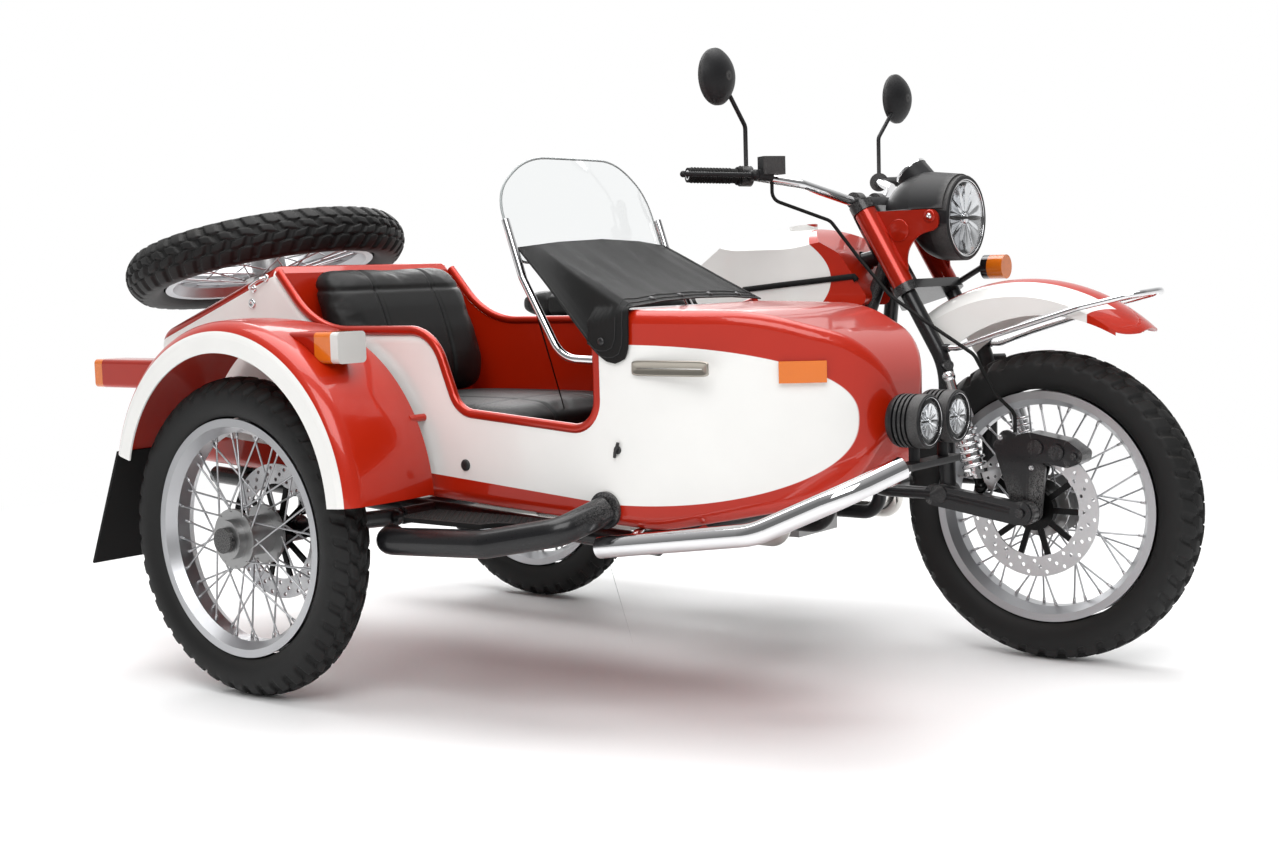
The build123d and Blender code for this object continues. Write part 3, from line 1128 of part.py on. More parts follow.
def trunk_lid(block):
    """Sloping lid with two hinge barrels at its tail."""
    x, z = hinge_point()
    slab = split(block, lid_plane(LID_WALL), keep=Keep.TOP)
    lid = slab & box((-700.0, LID_FRONT_X - PLAY), (-1200.0, 0.0), (0.0, 1200.0))
    for y in HINGE_STATIONS:
        barrel = rod((x, y - 25.5, z), (x, y + 25.5, z), HINGE_RADIUS)
        leaf = box((x, BODY_TAIL_X + 10.0), (y - 25.5, y + 25.5), (z + 3.2, z + HINGE_RADIUS + 3.0))
        lid = lid + barrel + leaf
        lid -= rod((x, y - 40.0, z), (x, y + 40.0, z), 3.0 + PLAY)
    return lid


def spare_place():
    """Place of the spare wheel, its axis along local Z."""
    return Pos(SPARE_X, BODY_Y, SPARE_Z) * Rot(0, -SPARE_PITCH, 0)


def spare_carrier():
    """Post from the trunk lid to the spare's hub, with stud and nut."""
    low = -HUB_HALF_WIDTH - PLAY
    post = Pos(0, 0, low - 60.0) * Cylinder(34.0, 120.0)
    stud = Cylinder(AXLE_RADIUS - 1.0, 2 * HUB_HALF_WIDTH + 36.0)
    nut = Pos(0, 0, HUB_HALF_WIDTH + PLAY + 7.0) * Cylinder(24.0, 14.0)
    piece = spare_place() * (post + stud + nut)
    return split(piece, lid_plane(-PLAY), keep=Keep.TOP)


def seat_cushion():
    """Passenger's cushion on the plinth."""
    rows = (
        (bulkhead_x(PLINTH_Z) + 2.0, PLINTH_Z + PLAY, 6.0), (768.0, PLINTH_Z + PLAY, 14.0), (778.0, 614.0, 40.0),
        (560.0, 616.0, 90.0), (bulkhead_x(PLINTH_Z) + 2.0, 592.0, 6.0),
    )
    half = BODY_HALF_WIDTH - BODY_WALL - 12.0
    return side_prism(outline(rows), BODY_Y + half, BODY_Y - half)


def seat_back():
    """Passenger's back rest leaning on the bulkhead."""
    low = 596.0
    rows = (
        (bulkhead_x(low) + 1.0, low, 4.0), (306.0, 600.5, 24.0), (300.0, 690.0, 90.0),
        (200.0, 926.0, 34.0), (bulkhead_x(905.0) + 1.0, 905.0, 10.0),
    )
    half = BODY_HALF_WIDTH - BODY_WALL - 44.0
    return side_prism(outline(rows), BODY_Y + half, BODY_Y - half)


def screen_face(inner, outer):
    """Plan of the windscreen between two offsets ahead of its curve."""
    half = SCREEN_HALF_WIDTH + 40.0
    bow = SCREEN_BOW * (half / SCREEN_HALF_WIDTH) ** 2
    front = ThreePointArc((SCREEN_X - bow + outer, BODY_Y - half), (SCREEN_X + outer, BODY_Y), (SCREEN_X - bow + outer, BODY_Y + half))
    back = ThreePointArc((SCREEN_X - bow + inner, BODY_Y + half), (SCREEN_X + inner, BODY_Y), (SCREEN_X - bow + inner, BODY_Y - half))
    return make_face([front, Line(front @ 1, back @ 0), back, Line(back @ 1, front @ 0)])


def screen_block(inner, outer):
    """Leaning slab that follows the windscreen's curve."""
    lean = radians(SCREEN_LEAN)
    drop = SCREEN_Z - 860.0
    shift = drop * sin(lean) / cos(lean)
    face = Pos(shift, 0, 860.0) * screen_face(inner, outer)
    return extrude(face, 420.0, dir=(-sin(lean), 0, cos(lean)))


def windscreen():
    """Curved clear screen with an arched top."""
    shoulder = SCREEN_HALF_WIDTH - 96.0
    front = outline((
        (BODY_Y - SCREEN_HALF_WIDTH, SCREEN_FOOT_Z, 30.0), (BODY_Y + SCREEN_HALF_WIDTH, SCREEN_FOOT_Z, 30.0),
        (BODY_Y + SCREEN_HALF_WIDTH, SCREEN_TOP_Z - SCREEN_DROP, 100.0), (BODY_Y + shoulder, SCREEN_TOP_Z, 180.0),
        (BODY_Y - shoulder, SCREEN_TOP_Z, 180.0), (BODY_Y - SCREEN_HALF_WIDTH, SCREEN_TOP_Z - SCREEN_DROP, 100.0),
    ))
    return screen_block(0.0, SCREEN_WALL) & extrude(Plane.YZ.offset(500.0) * front, 700.0)


def windscreen_stay(side):
    """Bright stay from the cockpit rim to the edge of the screen."""
    y = BODY_Y + side * STAY_HALF_GAUGE
    points = [
        (DECK_X, y, 712.0), (912.0, y, 716.0), (SCREEN_X + 5.0, y, 876.0), (SCREEN_X - 35.0, y, 992.0),
    ]
    wall = BODY_HALF_WIDTH - BODY_WALL if side > 0 else BODY_HALF_WIDTH - BODY_WALL / 2 - RIM_TUBE_RADIUS
    foot = rod((DECK_X, y, 712.0), (DECK_X, BODY_Y + side * (wall - PLAY), 712.0), 9.0)
    return bent_tube(points, 8.0, 70.0) + foot - screen_block(-PLAY - 30.0, SCREEN_WALL + PLAY)


def tonneau_cover():
    """Cover stretched from the foot of the screen down to the deck, with a flap on the body's right side."""
    bands = []
    rows = (
        (SCREEN_X - 40.0, BODY_HALF_WIDTH - 48.0, 952.0, 966.0),
        (TONNEAU_HEM_X, BODY_HALF_WIDTH - 14.0, DECK_Z + 1.0, DECK_Z + 14.0),
    )
    for x, half, edge, crown in rows:
        top = ThreePointArc((BODY_Y - half, edge + 4.0), (BODY_Y, crown + 4.0), (BODY_Y + half, edge + 4.0))
        low = ThreePointArc((BODY_Y + half, edge), (BODY_Y, crown), (BODY_Y - half, edge))
        band = make_face([top, Line(top @ 1, low @ 0), low, Line(low @ 1, top @ 0)])
        bands.append(Plane.YZ.offset(x) * band)
    sheet = loft(bands, ruled=True) - screen_block(-400.0, SCREEN_WALL + PLAY)
    flap_rows = (
        (1034.0, DECK_Z - 30.0, 6.0), (1034.0, 722.0, 14.0), (1072.0, 706.0, 22.0), (TONNEAU_HEM_X, 734.0, 20.0),
        (TONNEAU_HEM_X, DECK_Z - 30.0, 6.0),
    )
    face = BODY_RIGHT_Y - PLAY
    flap = side_prism(outline(flap_rows), face, face - 4.0)
    return Compound(children=[*sheet.solids(), *flap.solids()])


def front_bumper():
    """Bright tube round the right of the sidecar's nose."""
    points = [
        (1038.0, BODY_RIGHT_Y - 25.0, 359.0), (1390.0, BODY_RIGHT_Y - 23.0, 409.0),
        (1545.0, BODY_RIGHT_Y + 33.0, 482.0), (1602.0, FOG_STATIONS[0] - 63.0, 522.0),
    ]
    stays = [
        rod((x, BODY_RIGHT_Y - 24.5, 359.0 + 0.142 * (x - 1038.0)), (x, BODY_RIGHT_Y + 44.0, floor_z(x) + 12.0), 9.0)
        for x in BUMPER_STAYS
    ]
    return bent_tube(points, BUMPER_RADIUS, 110.0) + [stay - body_block(-PLAY) for stay in stays]


def step_tube():
    """Thick tube that carries the step, from the frame to the body's sill."""
    points = [
        (548.0, SIDE_ARM_Y - 37.0, 352.0), (585.0, STEP_Y, 354.0), (850.0, STEP_Y, 368.0),
        (1000.0, STEP_Y + 48.0, 396.0), (1036.0, BODY_RIGHT_Y - 3.0, 428.0),
    ]
    face = BODY_RIGHT_Y - PLAY
    flange = rod((1036.0, face, 428.0), (1036.0, face - 7.0, 428.0), 36.0)
    limit = box((400.0, 1200.0), (face, BODY_Y), (300.0, 500.0))
    return bent_tube(points, STEP_RADIUS, 48.0) - limit + flange


def step_pad():
    """Rubber mat on the step."""
    inner = BODY_RIGHT_Y - 20.0
    rows = (
        (600.0, inner, 20.0), (604.0, STEP_Y + 2.0, 40.0), (836.0, STEP_Y + 2.0, 8.0), (850.0, STEP_Y + 32.0, 8.0),
        (968.0, STEP_Y + 69.0, 30.0), (968.0, inner, 20.0),
    )
    return Pos(0, 0, STEP_PAD_Z) * extrude(outline(rows), 9.0)


def fog_lamps():
    """Two round lamps on a bar at the bumper's end."""
    low, high = FOG_STATIONS
    bar = fillet(box((1578.0, 1612.0), (low - 51.0, high + 39.0), (514.0, 526.0)).edges().filter_by(Axis.Z), 8.0)
    pieces = []
    for y in FOG_STATIONS:
        can = rod((FOG_X - 78.0, y, FOG_Z), (FOG_X - 6.0, y, FOG_Z), FOG_RADIUS)
        can = fillet(can.edges().group_by(Axis.X)[0], 20.0)
        can -= rod((FOG_X - 14.0, y, FOG_Z), (FOG_X, y, FOG_Z), FOG_RADIUS - 5.0)
        for x in FOG_GROOVES:
            groove = rod((x, y, FOG_Z), (x + 4.0, y, FOG_Z), FOG_RADIUS + 2.0)
            can -= groove - rod((x - 1.0, y, FOG_Z), (x + 5.0, y, FOG_Z), FOG_RADIUS - 6.0)
        pieces += [can, rod((FOG_X - 38.0, y, 520.0), (FOG_X - 38.0, y, FOG_Z - 30.0), 10.0)]
    return bar + pieces


def fog_lens(y):
    """Lens of one fog lamp."""
    return rod((FOG_X - 14.0 + PLAY, y, FOG_Z), (FOG_X, y, FOG_Z), FOG_RADIUS - 5.0 - PLAY)


def side_reflector():
    """Amber reflector lying on the right of the nose."""
    block = box((1384.0, 1492.0), (BODY_RIGHT_Y - 55.0, BODY_Y - 155.0), (672.0, 712.0))
    shell = (block & body_block(-10.0)) - body_block(-PLAY)
    return max(shell.solids(), key=lambda solid: solid.volume)


def sidecar_fender():
    """Arched fender with a flat outer lip, on brackets from the body's side."""
    outer = -FENDER_OUTER_Y
    inner = -FENDER_INNER_Y
    r = FENDER_RADIUS
    wall = 4.0
    lip = Line((r - FENDER_LIP - 6.0, outer), (r - 38.0, outer))
    bend = ThreePointArc((r - 38.0, outer), (r - 13.0, outer - 13.0), (r - 2.0, outer - 40.0))
    crown = ThreePointArc((r - 2.0, outer - 40.0), (r, outer - 120.0), (r - 14.0, inner))
    under = ThreePointArc((r - 14.0 - wall, inner), (r - wall, outer - 120.0), (r - 2.0 - wall, outer - 41.0))
    inner_bend = ThreePointArc((r - 2.0 - wall, outer - 41.0), (r - 15.5, outer - 16.0), (r - 38.0, outer - wall))
    back = Polyline((r - 38.0, outer - wall), (r - FENDER_LIP - 6.0, outer - wall), (r - FENDER_LIP - 6.0, outer))
    section = make_face([lip, bend, crown, Line(crown @ 1, under @ 0), under, inner_bend, back])
    shell = arch(section, FENDER_X, FENDER_Z, FENDER_FRONT, FENDER_REAR)
    face = BODY_Y - BODY_HALF_WIDTH - PLAY
    reach = r - 14.0 - wall / 2
    for angle in (28.0, 150.0):
        x = FENDER_X + reach * cos(radians(angle))
        z = FENDER_Z + reach * sin(radians(angle))
        shell += rod((x, face, z), (x, FENDER_INNER_Y - 20.0, z), 8.0)
    return shell


def fender_curve():
    """Solid inside the fender's outer surface, for pieces that sit on it."""
    return rod((FENDER_X, FENDER_INNER_Y + 110.0, FENDER_Z), (FENDER_X, FENDER_OUTER_Y - 45.0, FENDER_Z), FENDER_RADIUS + 0.4)


def mud_flap():
    """Rubber flap below the fender's rear end."""
    rows = ((-150.0, 516.1, 0.0), (-143.0, 514.2, 0.0), (-258.0, 255.0, 2.0), (-265.0, 257.0, 2.0))
    return side_prism(outline(rows), -TRACK + 78.0, -TRACK - 70.0)


def fender_lamp(x_range, z_range):
    """Rounded block on the fender's crown between two stations and two heights."""
    middle = -TRACK + 20.0
    y_range = (middle - FENDER_LAMP_HALF_WIDTH, middle + FENDER_LAMP_HALF_WIDTH)
    return fillet(box(x_range, y_range, z_range).edges().filter_by(Axis.X), 10.0)


def fender_lamps():
    """Front and rear lamp housings on the fender."""
    front = fender_lamp((380.0, 456.0), FRONT_LAMP_Z)
    rear = fender_lamp((-262.0, -40.0), REAR_LAMP_Z)
    solids = []
    for pod in (front, rear):
        solids.append(max((pod - fender_curve()).solids(), key=lambda solid: solid.volume))
    return Compound(children=solids)


def amber_lenses():
    """Lenses of the two fender lamps and the reflector on the nose."""
    front = fender_lamp((456.0 + PLAY, 526.0), FRONT_LAMP_Z) - fender_curve()
    rear = fender_lamp((-290.0, -262.0 - PLAY), REAR_LAMP_Z)
    return Compound(children=[
        max(piece.solids(), key=lambda solid: solid.volume) for piece in (front, rear, side_reflector())
    ])


def build():
    """All pieces by name, in the layout's own coordinates."""
    block = outer_body()
    wheel = wire_wheel()
    casing = tyre()
    disc = brake_disc()
    inward = TURN * Rot(0, 180, 0)
    spare = spare_place()
    return {
        "motorcycle_frame": motorcycle_frame(),
        "engine_block": engine_block(),
        "cylinders": both(cylinder),
        "intake_pipes": both(intake_pipe),
        "exhaust_pipes": both(exhaust_pipe),
        "swing_arm": swing_arm(),
        "rear_shocks": both(rear_shock),
        "fuel_tank": fuel_tank(),
        "rider_seat": rider_seat(),
        "rear_fender": rear_fender(),
        "tail_lamp": tail_lamp(),
        "foot_controls": both(foot_control),
        "sidecar_frame": sidecar_frame(),
        "sidecar_swing_arm": sidecar_swing_arm(),
        "sidecar_shock": sidecar_shock(),
        "sidecar_body": sidecar_body(block),
        "cockpit_rim": both(lambda side: rim_tube(side, RIM_TUBE_RADIUS)),
        "seat_cushion": seat_cushion(),
        "seat_back": seat_back(),
        "windscreen": windscreen(),
        "windscreen_stays": both(windscreen_stay),
        "tonneau_cover": tonneau_cover(),
        "front_bumper": front_bumper(),
        "step_tube": step_tube(),
        "step_pad": step_pad(),
        "fog_lamps": fog_lamps(),
        "fog_lenses": Compound(children=[solid for y in FOG_STATIONS for solid in fog_lens(y).solids()]),
        "sidecar_fender": sidecar_fender(),
        "mud_flap": mud_flap(),
        "fender_lamps": fender_lamps(),
        "amber_lenses": amber_lenses(),
        "trunk_lid": trunk_lid(block),
        "spare_carrier": spare_carrier(),
        "spare_tyre": spare * casing,
        "spare_wheel": spare * wheel,
        "front_fork": front_fork(),
        "fork_covers": both(fork_cover),
        "leading_link": leading_link(),
        "front_shocks": both(front_shock),
        "brake_caliper": brake_caliper(),
        "brake_hose": brake_hose(),
        "handlebar": handlebar(),
        "hand_grips": both(hand_grip),
        "bar_controls": both(bar_control),
        "mirrors": both(mirror_piece),
        "headlamp_shell": headlamp_shell(),
        "headlamp_lens": headlamp_lens(),
        "instrument_cowl": instrument_cowl(),
        "turn_signal": turn_signal(),
        "front_fender": front_fender(),
        "fender_rail": fender_rail(),
        "front_tyre": FRONT_HUB * TURN * casing,
        "front_wheel": FRONT_HUB * TURN * wheel,
        "front_disc": FRONT_HUB * TURN * disc,
        "rear_tyre": REAR_HUB * TURN * casing,
        "rear_wheel": REAR_HUB * TURN * wheel,
        "rear_disc": REAR_HUB * inward * disc,
        "sidecar_tyre": SIDECAR_HUB * TURN * casing,
        "sidecar_wheel": SIDECAR_HUB * TURN * wheel,
        "sidecar_disc": SIDECAR_HUB * inward * disc,
    }


def main():
    """Write each piece, shifted to the outfit's own origin, to its own file."""
    os.makedirs("parts", exist_ok=True)
    shift = Pos(-ORIGIN_X, -ORIGIN_Y, 0)
    for name, piece in build().items():
        export_step(shift * piece, f"parts/{name}.step")


main()
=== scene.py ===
"""Looks of the sidecar motorcycle: camera, light, materials, tyres, upholstery and trim.

Points are written in the layout of the source, in millimetres: X forward from the rear axle, Y to the
left from the motorcycle's middle plane, Z up from the ground. place() turns them into the frame's metres.
"""
from math import cos, pi, radians, sin

import bmesh
import bpy
import numpy as np
from mathutils import Matrix, Vector
from mathutils.bvhtree import BVHTree


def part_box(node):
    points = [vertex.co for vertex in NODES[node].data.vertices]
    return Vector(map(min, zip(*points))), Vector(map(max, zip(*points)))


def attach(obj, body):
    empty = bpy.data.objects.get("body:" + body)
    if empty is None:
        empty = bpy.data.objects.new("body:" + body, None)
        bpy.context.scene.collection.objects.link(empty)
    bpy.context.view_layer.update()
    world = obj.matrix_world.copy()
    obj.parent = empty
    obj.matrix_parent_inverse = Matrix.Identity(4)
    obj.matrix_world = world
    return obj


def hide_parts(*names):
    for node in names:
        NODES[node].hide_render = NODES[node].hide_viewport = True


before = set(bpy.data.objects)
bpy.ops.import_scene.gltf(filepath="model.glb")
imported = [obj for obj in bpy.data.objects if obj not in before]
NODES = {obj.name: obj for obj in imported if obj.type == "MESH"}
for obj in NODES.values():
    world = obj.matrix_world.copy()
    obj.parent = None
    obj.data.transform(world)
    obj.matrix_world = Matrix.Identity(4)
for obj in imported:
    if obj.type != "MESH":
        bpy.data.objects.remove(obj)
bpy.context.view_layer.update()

AXLE_BOX = np.array([list(corner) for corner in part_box("rear_tyre")])
ORIGIN = np.append(AXLE_BOX.mean(axis=0)[:2], 0.0)

BODY_Y = -705.0
WHEEL_RADIUS = 342.0
FRONT_HUB = (1500.0, 0.0, WHEEL_RADIUS)
REAR_HUB = (0.0, 0.0, WHEEL_RADIUS)
SIDECAR_HUB = (205.0, -1170.0, WHEEL_RADIUS)
SPARE_HUB = (-246.0, BODY_Y, 934.0)
SPARE_PITCH = 13.0
LAMP = (1303.0, 0.0, 980.0)

RED = (0.42, 0.014, 0.0015)
WHITE = (0.80, 0.795, 0.775)
CHROME = (0.74, 0.74, 0.75)
ALLOY = (0.48, 0.485, 0.50)
CAST = (0.36, 0.36, 0.36)
GLOSS_BLACK = (0.008, 0.008, 0.009)
SATIN_BLACK = (0.012, 0.012, 0.012)
RUBBER = (0.010, 0.010, 0.010)
VINYL = (0.009, 0.009, 0.009)
AMBER = (0.66, 0.15, 0.006)
DUST = (0.30, 0.27, 0.23)


def place(points):
    """Layout millimetres to frame metres."""
    return np.asarray(points, dtype=float) / 1000.0 + ORIGIN


class Field:
    """A number that varies over a surface, so that a paint mask is written as a formula."""

    def __init__(self, tree, socket):
        self.tree = tree
        self.socket = socket

    def math(self, operation, *others, clamp=False):
        node = self.tree.nodes.new("ShaderNodeMath")
        node.operation = operation
        node.use_clamp = clamp
        for slot, value in zip(node.inputs, (self, *others)):
            if isinstance(value, Field):
                self.tree.links.new(value.socket, slot)
            else:
                slot.default_value = value
        return Field(self.tree, node.outputs[0])

    def __add__(self, other):
        return self.math("ADD", other)

    def __sub__(self, other):
        return self.math("SUBTRACT", other)

    def __mul__(self, other):
        return self.math("MULTIPLY", other)

    def __truediv__(self, other):
        return self.math("DIVIDE", other)

    def power(self, other):
        return self.math("POWER", other)

    def size(self):
        return self.math("ABSOLUTE")

    def least(self, other):
        return self.math("MINIMUM", other)

    def most(self, other):
        return self.math("MAXIMUM", other)

    def above(self, limit, edge=0.6):
        """1 where the field is over the limit, 0 under it, with a narrow soft edge."""
        return ((self - limit) / edge).math("ADD", 0.5, clamp=True)

    def flip(self):
        return (self * -1.0) + 1.0


def layout_fields(tree):
    """The three layout coordinates, in millimetres, of a shaded point."""
    coordinates = tree.nodes.new("ShaderNodeTexCoord")
    split = tree.nodes.new("ShaderNodeSeparateXYZ")
    tree.links.new(coordinates.outputs["Object"], split.inputs[0])
    return [
        (Field(tree, split.outputs[axis]) - float(ORIGIN[axis])) * 1000.0
        for axis in range(3)
    ]


def detail_group():
    """Shared shader group: colour drift, dust on upward faces, wear on edges, grain in gloss and relief."""
    group = bpy.data.node_groups.new("surface_detail", "ShaderNodeTree")
    face = group.interface
    sockets = (
        ("Color", "NodeSocketColor"), ("Roughness", "NodeSocketFloat"), ("Grain", "NodeSocketFloat"),
        ("Relief", "NodeSocketFloat"), ("Drift", "NodeSocketFloat"), ("Dust", "NodeSocketFloat"),
        ("Wear", "NodeSocketFloat"),
    )
    for name, kind in sockets:
        face.new_socket(name, in_out="INPUT", socket_type=kind)
    results = (("Color", "NodeSocketColor"), ("Roughness", "NodeSocketFloat"), ("Normal", "NodeSocketVector"))
    for name, kind in results:
        face.new_socket(name, in_out="OUTPUT", socket_type=kind)
    source = group.nodes.new("NodeGroupInput")
    sink = group.nodes.new("NodeGroupOutput")
    given = {name: Field(group, source.outputs[name]) for name, kind in sockets}
    coordinates = group.nodes.new("ShaderNodeTexCoord")

    def noise(scale, detail):
        node = group.nodes.new("ShaderNodeTexNoise")
        node.inputs["Detail"].default_value = detail
        group.links.new(coordinates.outputs["Object"], node.inputs["Vector"])
        if isinstance(scale, Field):
            group.links.new(scale.socket, node.inputs["Scale"])
        else:
            node.inputs["Scale"].default_value = scale
        return Field(group, node.outputs[0])

    def mixed(factor, first, second):
        node = group.nodes.new("ShaderNodeMix")
        node.data_type = "RGBA"
        group.links.new(factor.socket, node.inputs[0])
        for slot, value in ((node.inputs[6], first), (node.inputs[7], second)):
            if isinstance(value, Field):
                group.links.new(value.socket, slot)
            else:
                slot.default_value = value
        return Field(group, node.outputs[2])

    fine = noise(given["Grain"], 5.0)
    broad = noise(7.0, 3.0)
    geometry = group.nodes.new("ShaderNodeNewGeometry")
    split = group.nodes.new("ShaderNodeSeparateXYZ")
    group.links.new(geometry.outputs["Normal"], split.inputs[0])
    upward = Field(group, split.outputs[2]).above(0.6, 0.5)
    dust = upward * broad.above(0.52, 0.3) * given["Dust"]
    edge = Field(group, geometry.outputs["Pointiness"]).above(0.56, 0.05)
    wear = edge * fine.above(0.5, 0.2) * given["Wear"]
    dark = mixed((broad.above(0.5, 0.5) * given["Drift"]), given["Color"], (0.0, 0.0, 0.0, 1.0))
    worn = mixed(wear, dark, (0.42, 0.41, 0.40, 1.0))
    final = mixed(dust, worn, (*DUST, 1.0))
    rough = given["Roughness"] + (fine - 0.5) * 0.16 + dust * 0.25
    bump = group.nodes.new("ShaderNodeBump")
    bump.inputs["Strength"].default_value = 1.0
    group.links.new(given["Relief"].socket, bump.inputs["Distance"])
    group.links.new(fine.socket, bump.inputs["Height"])
    group.links.new(final.socket, sink.inputs["Color"])
    group.links.new(rough.socket, sink.inputs["Roughness"])
    group.links.new(bump.outputs[0], sink.inputs["Normal"])
    return group


DETAIL = detail_group()


def material(name, colour, rough, metal=0.0, coat=0.0, grain=60.0, relief=0.0, drift=0.06, dust=0.0, wear=0.0,
             mask=None, other=None, transmission=0.0, ior=1.5, specular=0.5):
    """Principled material through the shared detail group; mask(x, y, z) lays another colour over the first."""
    made = bpy.data.materials.new(name)
    made.use_nodes = True
    tree = made.node_tree
    shader = tree.nodes["Principled BSDF"]
    detail = tree.nodes.new("ShaderNodeGroup")
    detail.node_tree = DETAIL
    for slot, value in (("Roughness", rough), ("Grain", grain), ("Relief", relief), ("Drift", drift),
                        ("Dust", dust), ("Wear", wear)):
        detail.inputs[slot].default_value = value
    detail.inputs["Color"].default_value = (*colour, 1.0)
    if mask is not None:
        factor = mask(*layout_fields(tree))
        blend = tree.nodes.new("ShaderNodeMix")
        blend.data_type = "RGBA"
        blend.inputs[6].default_value = (*colour, 1.0)
        blend.inputs[7].default_value = (*other, 1.0)
        tree.links.new(factor.socket, blend.inputs[0])
        tree.links.new(blend.outputs[2], detail.inputs["Color"])
    for slot in ("Color", "Roughness", "Normal"):
        target = "Base Color" if slot == "Color" else slot
        tree.links.new(detail.outputs[slot], shader.inputs[target])
    shader.inputs["Metallic"].default_value = metal
    shader.inputs["Coat Weight"].default_value = coat
    shader.inputs["Coat Roughness"].default_value = 0.04
    shader.inputs["Transmission Weight"].default_value = transmission
    shader.inputs["IOR"].default_value = ior
    shader.inputs["Specular IOR Level"].default_value = specular
    return made


FLANK_LINE_SLOPE, FLANK_LINE_Z = -0.0765, 519.0
FLANK_REACH = 272.0
NOSE_PAINT_X, NOSE_PAINT_REACH = 1045.0, 452.0
NOSE_PAINT_Z, NOSE_PAINT_BELOW, NOSE_PAINT_ABOVE = 605.0, 166.0, 140.0
NOSE_PAINT_POWER = 2.4
NOSE_PAINT_LAP = 5.0
DECK_BAND_X, DECK_BAND_Z = 1003.0, 745.0


def body_white(x, y, z):
    """White flank of the sidecar: above a falling line, under the deck's red band, behind a blunt D."""
    lower = (x * FLANK_LINE_SLOPE) + FLANK_LINE_Z
    ahead = ((x - NOSE_PAINT_X).most(0.0) / NOSE_PAINT_REACH).power(NOSE_PAINT_POWER)
    height = (z.above(NOSE_PAINT_Z) * (NOSE_PAINT_ABOVE - NOSE_PAINT_BELOW)) + NOSE_PAINT_BELOW
    up = ((z - NOSE_PAINT_Z).size() / height).power(NOSE_PAINT_POWER)
    inside = (ahead + up).above(1.0, 0.012).flip()
    nose = x.above(NOSE_PAINT_X)
    band = z.above(DECK_BAND_Z) * x.above(DECK_BAND_X)
    side = (y - BODY_Y).size().above(FLANK_REACH, 2.0)
    flank = z.above(lower) * side * x.above(NOSE_PAINT_X + NOSE_PAINT_LAP).flip() * band.flip()
    return (nose * inside).most(flank)


def fender_white(x, y, z):
    """White band on the outer lip of the sidecar's fender."""
    return y.above(-1250.0).flip()


def tank_white(x, y, z):
    """White tank behind an arc that bulges forward at half height; the neck is red."""
    arc = (z - 850.0).power(2.0) * 0.007
    return (x + arc).above(1017.0).flip()


def front_fender_white(x, y, z):
    """White front fender with a red stripe along its crown and a red tip."""
    across = y.size()
    stripe = across.above(38.0)
    tip = (across * 1.07 + x).above(1710.0)
    return stripe * tip.flip()


def rear_fender_white(x, y, z):
    """White rear fender with a red stripe along its crown."""
    return y.size().above(36.0)


def wheel_parts(centre, pitch=0.0):
    """Distance from a wheel's axis as a field; a pitched wheel lies flat and leans by that angle."""
    def distance(x, y, z):
        dx = x - centre[0]
        dz = z - centre[2]
        if pitch == 0.0:
            return (dx * dx + dz * dz).math("SQRT")
        lean = radians(pitch)
        along = (dx * cos(lean)) + (dz * sin(lean))
        dy = y - centre[1]
        return (along * along + dy * dy).math("SQRT")
    return distance


HUB_EDGE_RADIUS = 68.0
DISC_CARRIER_RADIUS = 102.0


def wheel_metal(name, centre, pitch=0.0):
    """Alloy rim and spokes and a darker cast hub by distance from the axis."""
    distance = wheel_parts(centre, pitch)
    return material(
        name, CAST, 0.36, metal=1.0, grain=220.0, relief=0.00006, drift=0.10,
        mask=lambda x, y, z: distance(x, y, z).above(HUB_EDGE_RADIUS, 2.0), other=ALLOY)


def disc_black(x, y, z):
    """1 on the black carrier of a brake disc, by distance from the nearest wheel's axis."""
    reach = None
    for hub in (FRONT_HUB, REAR_HUB, SIDECAR_HUB):
        one = wheel_parts(hub)(x, y, z)
        reach = one if reach is None else reach.least(one)
    return reach.above(DISC_CARRIER_RADIUS).flip()


def signal_base(x, y, z):
    """Black base and stalk of the front turn signal, behind its lens."""
    return x.above(1296.0).flip()


def lens_clear(x, y, z):
    """Clear front part of the sidecar's front lamp."""
    return x.above(504.0) * x.above(700.0).flip()


def shock_black(x, y, z):
    """Black lower body of a front or rear shock, below its spring."""
    return z.above(412.0).flip()


PAINT = dict(rough=0.32, coat=0.55, grain=2600.0, relief=0.000010, drift=0.05, specular=0.25)
TWO_TONE = {**PAINT, "metal": 0.10}

